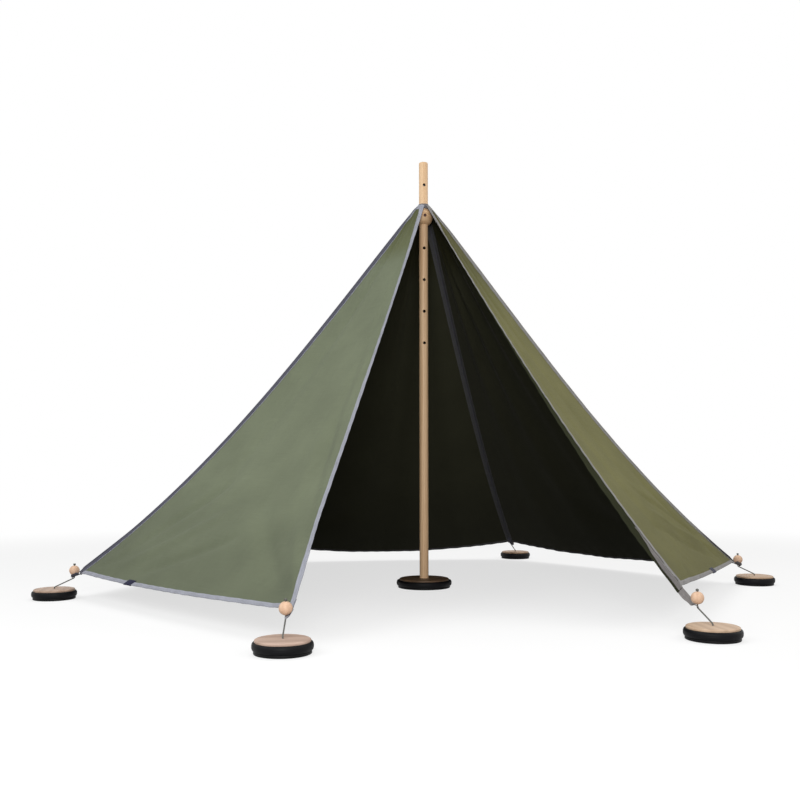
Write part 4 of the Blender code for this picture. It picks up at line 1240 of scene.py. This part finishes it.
# %% Straps under the tape
STRAP_LAP, STRAP_END = 0.035, 0.009
STRAP_HALF, STRAP_THICKNESS = 0.009, 0.0018
DOOR_STRAP_HALF, DOOR_STRAP_TAPER = 0.0112, 0.030
DOOR_EDGE, DOOR_TURN, DOOR_TURN_SHARE = 1.8, 0.020, 0.012
LAP_SPREAD, SPREAD_STEP, CUP_REACH, TIP_ROUND = 0.004, 0.010, 0.014, 0.93
LAP_ROWS, TAIL_ROWS, TIP_ROWS = 16, 14, 8
# Half widths at the canvas and at the eyelet, tilt and swing in radians, the share of the way by
# which the strap has turned, where it leaves the tape, and how fast its cup fades from the bead
Hang = namedtuple("Hang", "half end tilt swing turned_by setback fade", defaults=[0.032, 0.016])
HANGS = (
    Hang(0.0082, 0.0066, -1.1, -0.45, 0.8, 0.032, 0.026),
    Hang(0.012, 0.011, -0.9, -0.5, 0.2, 0.026),
    Hang(0.0095, 0.0090, -0.1, -0.15, 0.5), Hang(0.0095, 0.0090, 0.1, 0.15, 0.5),
    Hang(0.012, 0.011, 0.9, 0.5, 0.2, 0.026), Hang(0.012, 0.010, 0.7, 0.5, 0.25),
)
TIP_SLOPE = math.radians(27.0)
BEAD_RADIUS, BEAD_BORE, CORD_RADIUS = 0.0175, 0.0023, 0.0020
BEAD_SEAT = (BEAD_RADIUS + FIT) / math.cos(TIP_SLOPE)
WIDE = np.linspace(-1.0, 1.0, 13)
MIDDLE = len(WIDE) // 2


def lap_row(index, t):
    """Points across the strap where it lies under the tape. At the doorway it follows the one
    panel, and at the right it then turns down with the facing and narrows. Elsewhere each half
    follows its own panel, and they meet in a fold on the ridge."""
    left = (1 - t) * ridge_length(CORNERS[index])
    row = np.full(len(WIDE), t)
    if index == 0:
        edge, lean, _ = edge_frame(sails[0], row)
        full = smooth_step((left - HANGS[0].setback) / DOOR_STRAP_TAPER)
        half = HANGS[0].half + (DOOR_STRAP_HALF - HANGS[0].half) * full
        hung = edge - half * (1 + WIDE)[:, None] * lean
        flat = under_tape(sails[0], False, row, STRAP_HALF * (1 + WIDE))
        turn_t = 1 - (CANVAS_SETBACK * CORNERS[0].setback + DOOR_TURN) / DOOR_EDGE
        return flat + (hung - flat) * smooth_step((t - turn_t) / DOOR_TURN_SHARE)
    if index == 5:
        return under_tape(sails[4], True, row, STRAP_HALF * (1 - WIDE))
    half = STRAP_HALF + LAP_SPREAD * smooth_step(4 - left / SPREAD_STEP)
    reach = np.maximum(np.abs(WIDE) * half - RIDGE_GAP / 2, 0.0)
    one = under_tape(sails[index - 1], True, row, reach)
    two = under_tape(sails[index], False, row, reach)
    lap = np.where(WIDE[:, None] < 0, one, two)
    lap[MIDDLE] = (one[MIDDLE] + two[MIDDLE]) / 2
    return lap


# %% Straps beyond the canvas
def strap_rows(index, bead):
    """Rows of points across the strap's upper side, and the slope of each row."""
    corner, hang = CORNERS[index], HANGS[index]
    outward, sideways = corner_axes(corner)
    length = ridge_length(corner)
    lap_t = 1 - (CANVAS_SETBACK * corner.setback + STRAP_LAP) / length
    bend_t = 1 - hang.setback / length
    laps = [lap_row(index, t) for t in np.linspace(lap_t, bend_t, LAP_ROWS)]
    start = laps[-1][MIDDLE]
    eyelet = np.array([bead @ outward, bead[2] - BEAD_SEAT])
    ends = ridge_points(corner, np.array([bend_t - 0.002, bend_t]))
    slope = math.atan2(ends[0][2] - ends[1][2], (ends[1] - ends[0]) @ outward)
    begin = np.array([start @ outward, start[2]])
    span = np.linalg.norm(eyelet - begin)
    s = np.linspace(0, 1, TAIL_ROWS + 1)[1:, None]
    leave, arrive = [
        np.array([math.cos(fall), -math.sin(fall)]) for fall in (slope, TIP_SLOPE)
    ]
    curve = ((2 * s**3 - 3 * s**2 + 1) * begin + (s**3 - 2 * s**2 + s) * span * leave
             + (3 * s**2 - 2 * s**3) * eyelet + (s**3 - s**2) * span * arrive)
    beyond = np.linspace(0.0, 1.0, TIP_ROWS + 1)[1:, None]
    curve = np.concatenate([curve, eyelet + beyond * STRAP_END * arrive])
    away = np.linalg.norm(curve - begin, axis=1) / span
    done = smooth_step(away / hang.turned_by)[:, None, None]
    round_tip = np.sqrt(np.clip(1 - (beyond[:, 0] * TIP_ROUND) ** 4, 0, 1))
    half = hang.half + (hang.end - hang.half) * np.minimum(away, 1.0)
    wide = WIDE * (half * np.concatenate([np.ones(TAIL_ROWS), round_tip]))[:, None]
    round_bead = BEAD_RADIUS + FIT
    foot = eyelet - arrive * BEAD_SEAT * math.sin(TIP_SLOPE)
    from_foot = np.linalg.norm(curve - foot, axis=1)[:, None]
    cup = 1 - smooth_step((from_foot - CUP_REACH) / hang.fade)
    angle = wide / round_bead + hang.swing
    bent = cup * round_bead * np.sin(angle) + (1 - cup) * wide * math.cos(hang.tilt)
    rise = cup * round_bead * (1 - np.cos(angle)) + (1 - cup) * wide * math.sin(hang.tilt)
    lean = np.cos(TIP_SLOPE) * UP + np.sin(TIP_SLOPE) * outward
    flat = bent[..., None] * sideways + rise[..., None] * lean
    aside = (start @ sideways) * sideways
    middle = curve[:, None, :1] * outward + curve[:, None, 1:] * UP
    tail = middle + (aside + laps[-1] - start) * (1 - done) + flat * done
    slopes = np.concatenate([np.full(LAP_ROWS, slope), slope + (TIP_SLOPE - slope) * done[:, 0, 0]])
    return np.concatenate([np.array(laps), tail]), slopes


# %% Strap pieces
# Painted light and shade: every strap is the same tape, lit or shaded at its corner, and the others
# take the seam covers' painted shade.
STRAP_TONES = {
    "door_right": (150, 146, 145), "door_left": (154, 156, 166), "right": (104, 101, 102),
}
STRAP_STITCHES = (0.0022, 0.0158, 0.0222, 0.0358)
SELVEDGE = 0.0004


def make_strap(index):
    """The strap as a closed band: its upper side, two rounded selvedges, and its underside."""
    corner = CORNERS[index]
    outward, _ = corner_axes(corner)
    bead = centre_of(f"corner_ball_{corner.name}")
    rows, slopes = strap_rows(index, bead)
    up = np.sin(slopes)[:, None] * outward + np.cos(slopes)[:, None] * UP
    up = STRAP_THICKNESS * up[:, None, :]
    spread = SELVEDGE * unit(rows[:, -1:] - rows[:, :1])
    right, left = rows[:, -1:] + spread - up / 2, rows[:, :1] - spread - up / 2
    points = np.concatenate([rows, right, rows[:, ::-1] - up, left], axis=1)
    uv = uv_grid(travelled(points[LAP_ROWS // 2], True), travelled(rows[:, MIDDLE]))
    strap = grid_piece(f"strap_{corner.name}", points, uv, round_columns=True, capped=True)
    tone = STRAP_TONES.get(corner.name, SEAM_SHADE_TONE)
    tape = woven_tape(f"strap_tape_{corner.name}", tone, STRAP_STITCHES)
    dress(strap, tape, "tape", "tent", f"corner_strap_{corner.name}")
    return bead


beads = {corner.name: make_strap(index) for index, corner in enumerate(CORNERS)}
print("straps", {name: [round(float(v), 3) for v in bead] for name, bead in beads.items()})


# %% [markdown]
# ## Corner beads
# A beech bead of 35 mm sits on each eyelet. It is drilled along its axis for the cord, and the
# drill leaves a small flat round each mouth.

# %% Bead pieces
BEAD_DARKER = {"door_right": 0.0, "right": 0.035, "rear_right": 0.07, "rear_left": 0.05,
               "left": 0.02, "door_left": 0.01}
BEAD_PALE, BEAD_DEEP, BEAD_FLAT = (232, 197, 168), (214, 177, 148), 0.0033
mouth = math.degrees(math.asin(BEAD_FLAT / BEAD_RADIUS))
section = drilled_ball(BEAD_RADIUS, BEAD_BORE, mouth, 0.0008, 40)
for name, bead in beads.items():
    pale, deep = [scaled(tone, 1 - BEAD_DARKER[name]) for tone in (BEAD_PALE, BEAD_DEEP)]
    grain = "x" if BEAD_DARKER[name] > 0.03 else "y"
    wood = beech(f"beech_bead_{name}", grain, pale, deep, bead, 7.0)
    piece = turned(f"bead_{name}", section, 72, bead)
    dress(piece, wood, "pale_wood", f"bead_{name}", f"corner_ball_{name}")
print("beads", len(beads))


# %% [markdown]
# ## Cords and knots
# Each corner is tied down with one length of braided cord of 4 mm. It starts in a knot under the
# foot's cap, comes up through the cap, crosses to the eyelet in a straight line, because it is
# pulled tight, and ends in a knot on the bead. The knot is a trefoil, which is the closed form of
# the overhand knot. The braid's two families of strands are two sine waves that cross.

# %% Cord material
STRAND = 0.0024


def braided_cord():
    """A grey-green braid: strands of 2.4 mm that cross, darker between them."""
    look = Look("braided_cord", 0.8, 0.25)
    uv, u, v = look.metres()
    one, two = [
        abs((v * (math.pi / STRAND) + u * (way * 4 * math.pi)).math("SINE")) for way in (1.0, -1.0)
    ]
    height = one * two
    shade = height * 0.7 + look.noise(uv, 300.0, 3.0) * 0.4
    colour = look.ramp(shade, (0.1, (62, 62, 60)), (0.5, (104, 104, 100)), (0.9, (136, 136, 130)))
    return look.finish(colour, height, 0.0006, 0.7)


# %% Cord helpers
def tube(name, path, side, radius, steps=14):
    """A round tube along a path: path + radius (cos a N + sin a B), with N the side direction made
    square to the path, and B square to both. u goes from 0 to 1 round it, and v is in metres."""
    along = unit(np.gradient(path, axis=0))
    side = unit(side - (side * along).sum(1, keepdims=True) * along)
    other = np.cross(along, side)
    angle = np.arange(steps)[:, None] * 2 * math.pi / steps
    ring = np.cos(angle) * side[:, None] + np.sin(angle) * other[:, None]
    radius = np.broadcast_to(radius, len(path))[:, None, None]
    uv = uv_grid(np.linspace(0.0, 1.0, steps + 1), travelled(path))
    return grid_piece(name, path[:, None] + radius * ring, uv, round_columns=True, capped=True)


def trefoil(centre, turn_deg, size=0.00112, rise=0.0016, steps=130):
    """An overhand knot round an upright axis: x = sin s + 2 sin 2s, y = cos s - 2 cos 2s, and
    z = -sin 3s, drawn tight, and its directions away from the axis."""
    s = np.linspace(0, 2 * math.pi, steps) + math.radians(turn_deg)
    path = np.stack([
        size * (np.sin(s) + 2 * np.sin(2 * s)),
        size * (np.cos(s) - 2 * np.cos(2 * s)),
        -rise * np.sin(3 * s),
    ], -1)
    away = path * (1.0, 1.0, 0.0) + (1e-6, 0.0, 0.0)
    return path + centre, away


def joined(name, parts):
    """Puts several meshes into one object, UV maps and all."""
    bm = bmesh.new()
    for part in parts:
        bm.from_mesh(part.data)
        bpy.data.objects.remove(part, do_unlink=True)
    mesh = bpy.data.meshes.new(name)
    bm.to_mesh(mesh)
    bm.free()
    mesh.shade_smooth()
    return add_object(name, mesh)


# %% Cord pieces
KNOT_HALF, KNOT_STRAND, KNOT_CORD = 0.00325, 0.0015, 0.035
ABOVE_CAP, FOOT_BEND, BELOW_EYELET, EYELET_BEND = 0.0048, 0.005, 0.0055, 0.003


def make_cord(corner, bead):
    """One cord with its two knots: down the foot's axis, straight across, and up the bead's axis.
    The two bends are parabolas, as in the turned sections."""
    low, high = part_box(f"anchor_cap_{corner.name}")
    foot = centre_of(f"anchor_cap_{corner.name}")[:2]
    across = bead[:2] - foot
    run = float(np.linalg.norm(across))
    across /= run
    mouth = bead[2] + math.sqrt(BEAD_RADIUS**2 - BEAD_BORE**2) + FIT
    eyelet = bead[2] - BEAD_SEAT
    start, end = low.z - FIT - KNOT_HALF, mouth + KNOT_HALF
    line = eased([
        (0.0, start), (0.0, high.z + ABOVE_CAP, FOOT_BEND),
        (run, eyelet - BELOW_EYELET, EYELET_BEND), (run, end),
    ])
    tail = np.linspace(0.0, 1.0, 7)[1:, None]
    line = np.concatenate([line, line[-1] + tail * (0.0030, 0.0045) - tail**2 * (0.0, 0.001)])
    walk = travelled(line)
    even = np.linspace(0.0, walk[-1], 120)
    out, height = [np.interp(even, walk, part) for part in line.T]
    path = np.stack([foot[0] + across[0] * out, foot[1] + across[1] * out, height], -1)
    side = np.broadcast_to([-across[1], across[0], 0.0], path.shape)
    radius = CORD_RADIUS * np.sqrt(np.clip((walk[-1] - even) / 0.0012, 0.15, 1.0))
    parts = [tube("cord", path, side, radius)]
    knots = ((*foot, start + 0.0002), (bead[0], bead[1], end + 0.0004))
    for number, centre in enumerate(knots):
        curve, away = trefoil(np.array(centre), number * 140 + 17 * len(corner.name))
        parts.append(tube("knot", curve, away, KNOT_STRAND, 12))
    cord = joined(f"cord_{corner.name}", parts)
    dress(cord, cord_braid, "cord", "tent", f"corner_cord_{corner.name}")
    return round(float(walk[-1]) + 2 * KNOT_CORD, 3)


cord_braid = braided_cord()
lengths = {corner.name: make_cord(corner, beads[corner.name]) for corner in CORNERS}
print("cord lengths with their knots undone, in metres:", lengths)


# %% [markdown]
# ## Labels
# A folded navy tab is sewn over the hem tape of each side panel, and both are left plain here. A
# tab is a folded section again, a little larger than the tape's, carried along a short piece of
# the hem.

# %% Plain tabs
TAB_THICKNESS, TAB_BEND, TAB_RIB = 0.0007, 0.008, 0.0006


def navy_tab_cloth():
    """Dense navy satin with a fine rib."""
    look = Look("navy_tab", 0.6, 0.1, sheen=0.05)
    uv, u, _ = look.metres()
    shade = abs((u * (math.pi / TAB_RIB)).math("SINE")) * 0.4 + look.noise(uv, 200.0, 3.0) * 0.6
    colour = look.ramp(shade, (0.2, (9, 10, 36)), (0.8, (17, 20, 54)))
    return look.finish(colour, shade, 0.0003, 0.5)


def make_tab(sail, middle, half_width, reach=0.021):
    """The tab: a folded section round the hem tape, between two places along the hem."""
    inner, outer = BINDING_HALF + FIT, BINDING_HALF + FIT + TAB_THICKNESS
    fold = (-0.0002, 0.0)
    section = np.concatenate([
        [(reach, outer), (TAB_BEND, outer)], arc(fold, outer, 90, 270, 9),
        [(TAB_BEND, -outer), (reach, -outer), (reach, -inner), (TAB_BEND, -inner)],
        arc(fold, inner, 270, 90, 9), [(TAB_BEND, inner), (reach, inner)],
    ])
    spread = half_width / float(sail.width(np.array([0.97]))[0])
    q = np.linspace(middle - spread, middle + spread, 9)

    def line(inset):
        return sail.place(q, np.full(9, sail.span(inset)[1]), inset)

    tab, _ = sewn_band(f"tab_{sail.panel.name}", sail, section, line, False)
    dress(tab, navy_tab, "tape", "tent")
    return tab


navy_tab = navy_tab_cloth()
tabs = {"left": make_tab(sails[4], 0.300, 0.023), "right": make_tab(sails[0], 0.545, 0.034)}
print("tabs", list(tabs))


# %% [markdown]
# ## The cloth's trim
# For each panel, its bound edge and other trim are gathered, and the smaller of its area and the
# size it was cut to is worked out, but neither is kept.

# %% Sheets
for sail in sails:
    name = sail.panel.name
    cloth, flat, area = cloths[name]
    trim = [bindings[name]] + ([tabs[name]] if name in tabs else [])
    trim += facings if name == "right" else [seams[sail.first.name]]
    min(area, flat[0] * flat[1])


# %% [markdown]
# ## Finish
# The object's box, before and after dressing, is worked out, and the difference between the two
# is printed.

# %% Sizes and last line
visual_box = [list(corner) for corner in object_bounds()]
growth = [round(1000 * (v - c), 1) for c, v in zip(sum(cad_box, []), sum(visual_box, []))]
print("the dressed tent's box differs by", growth, "mm")
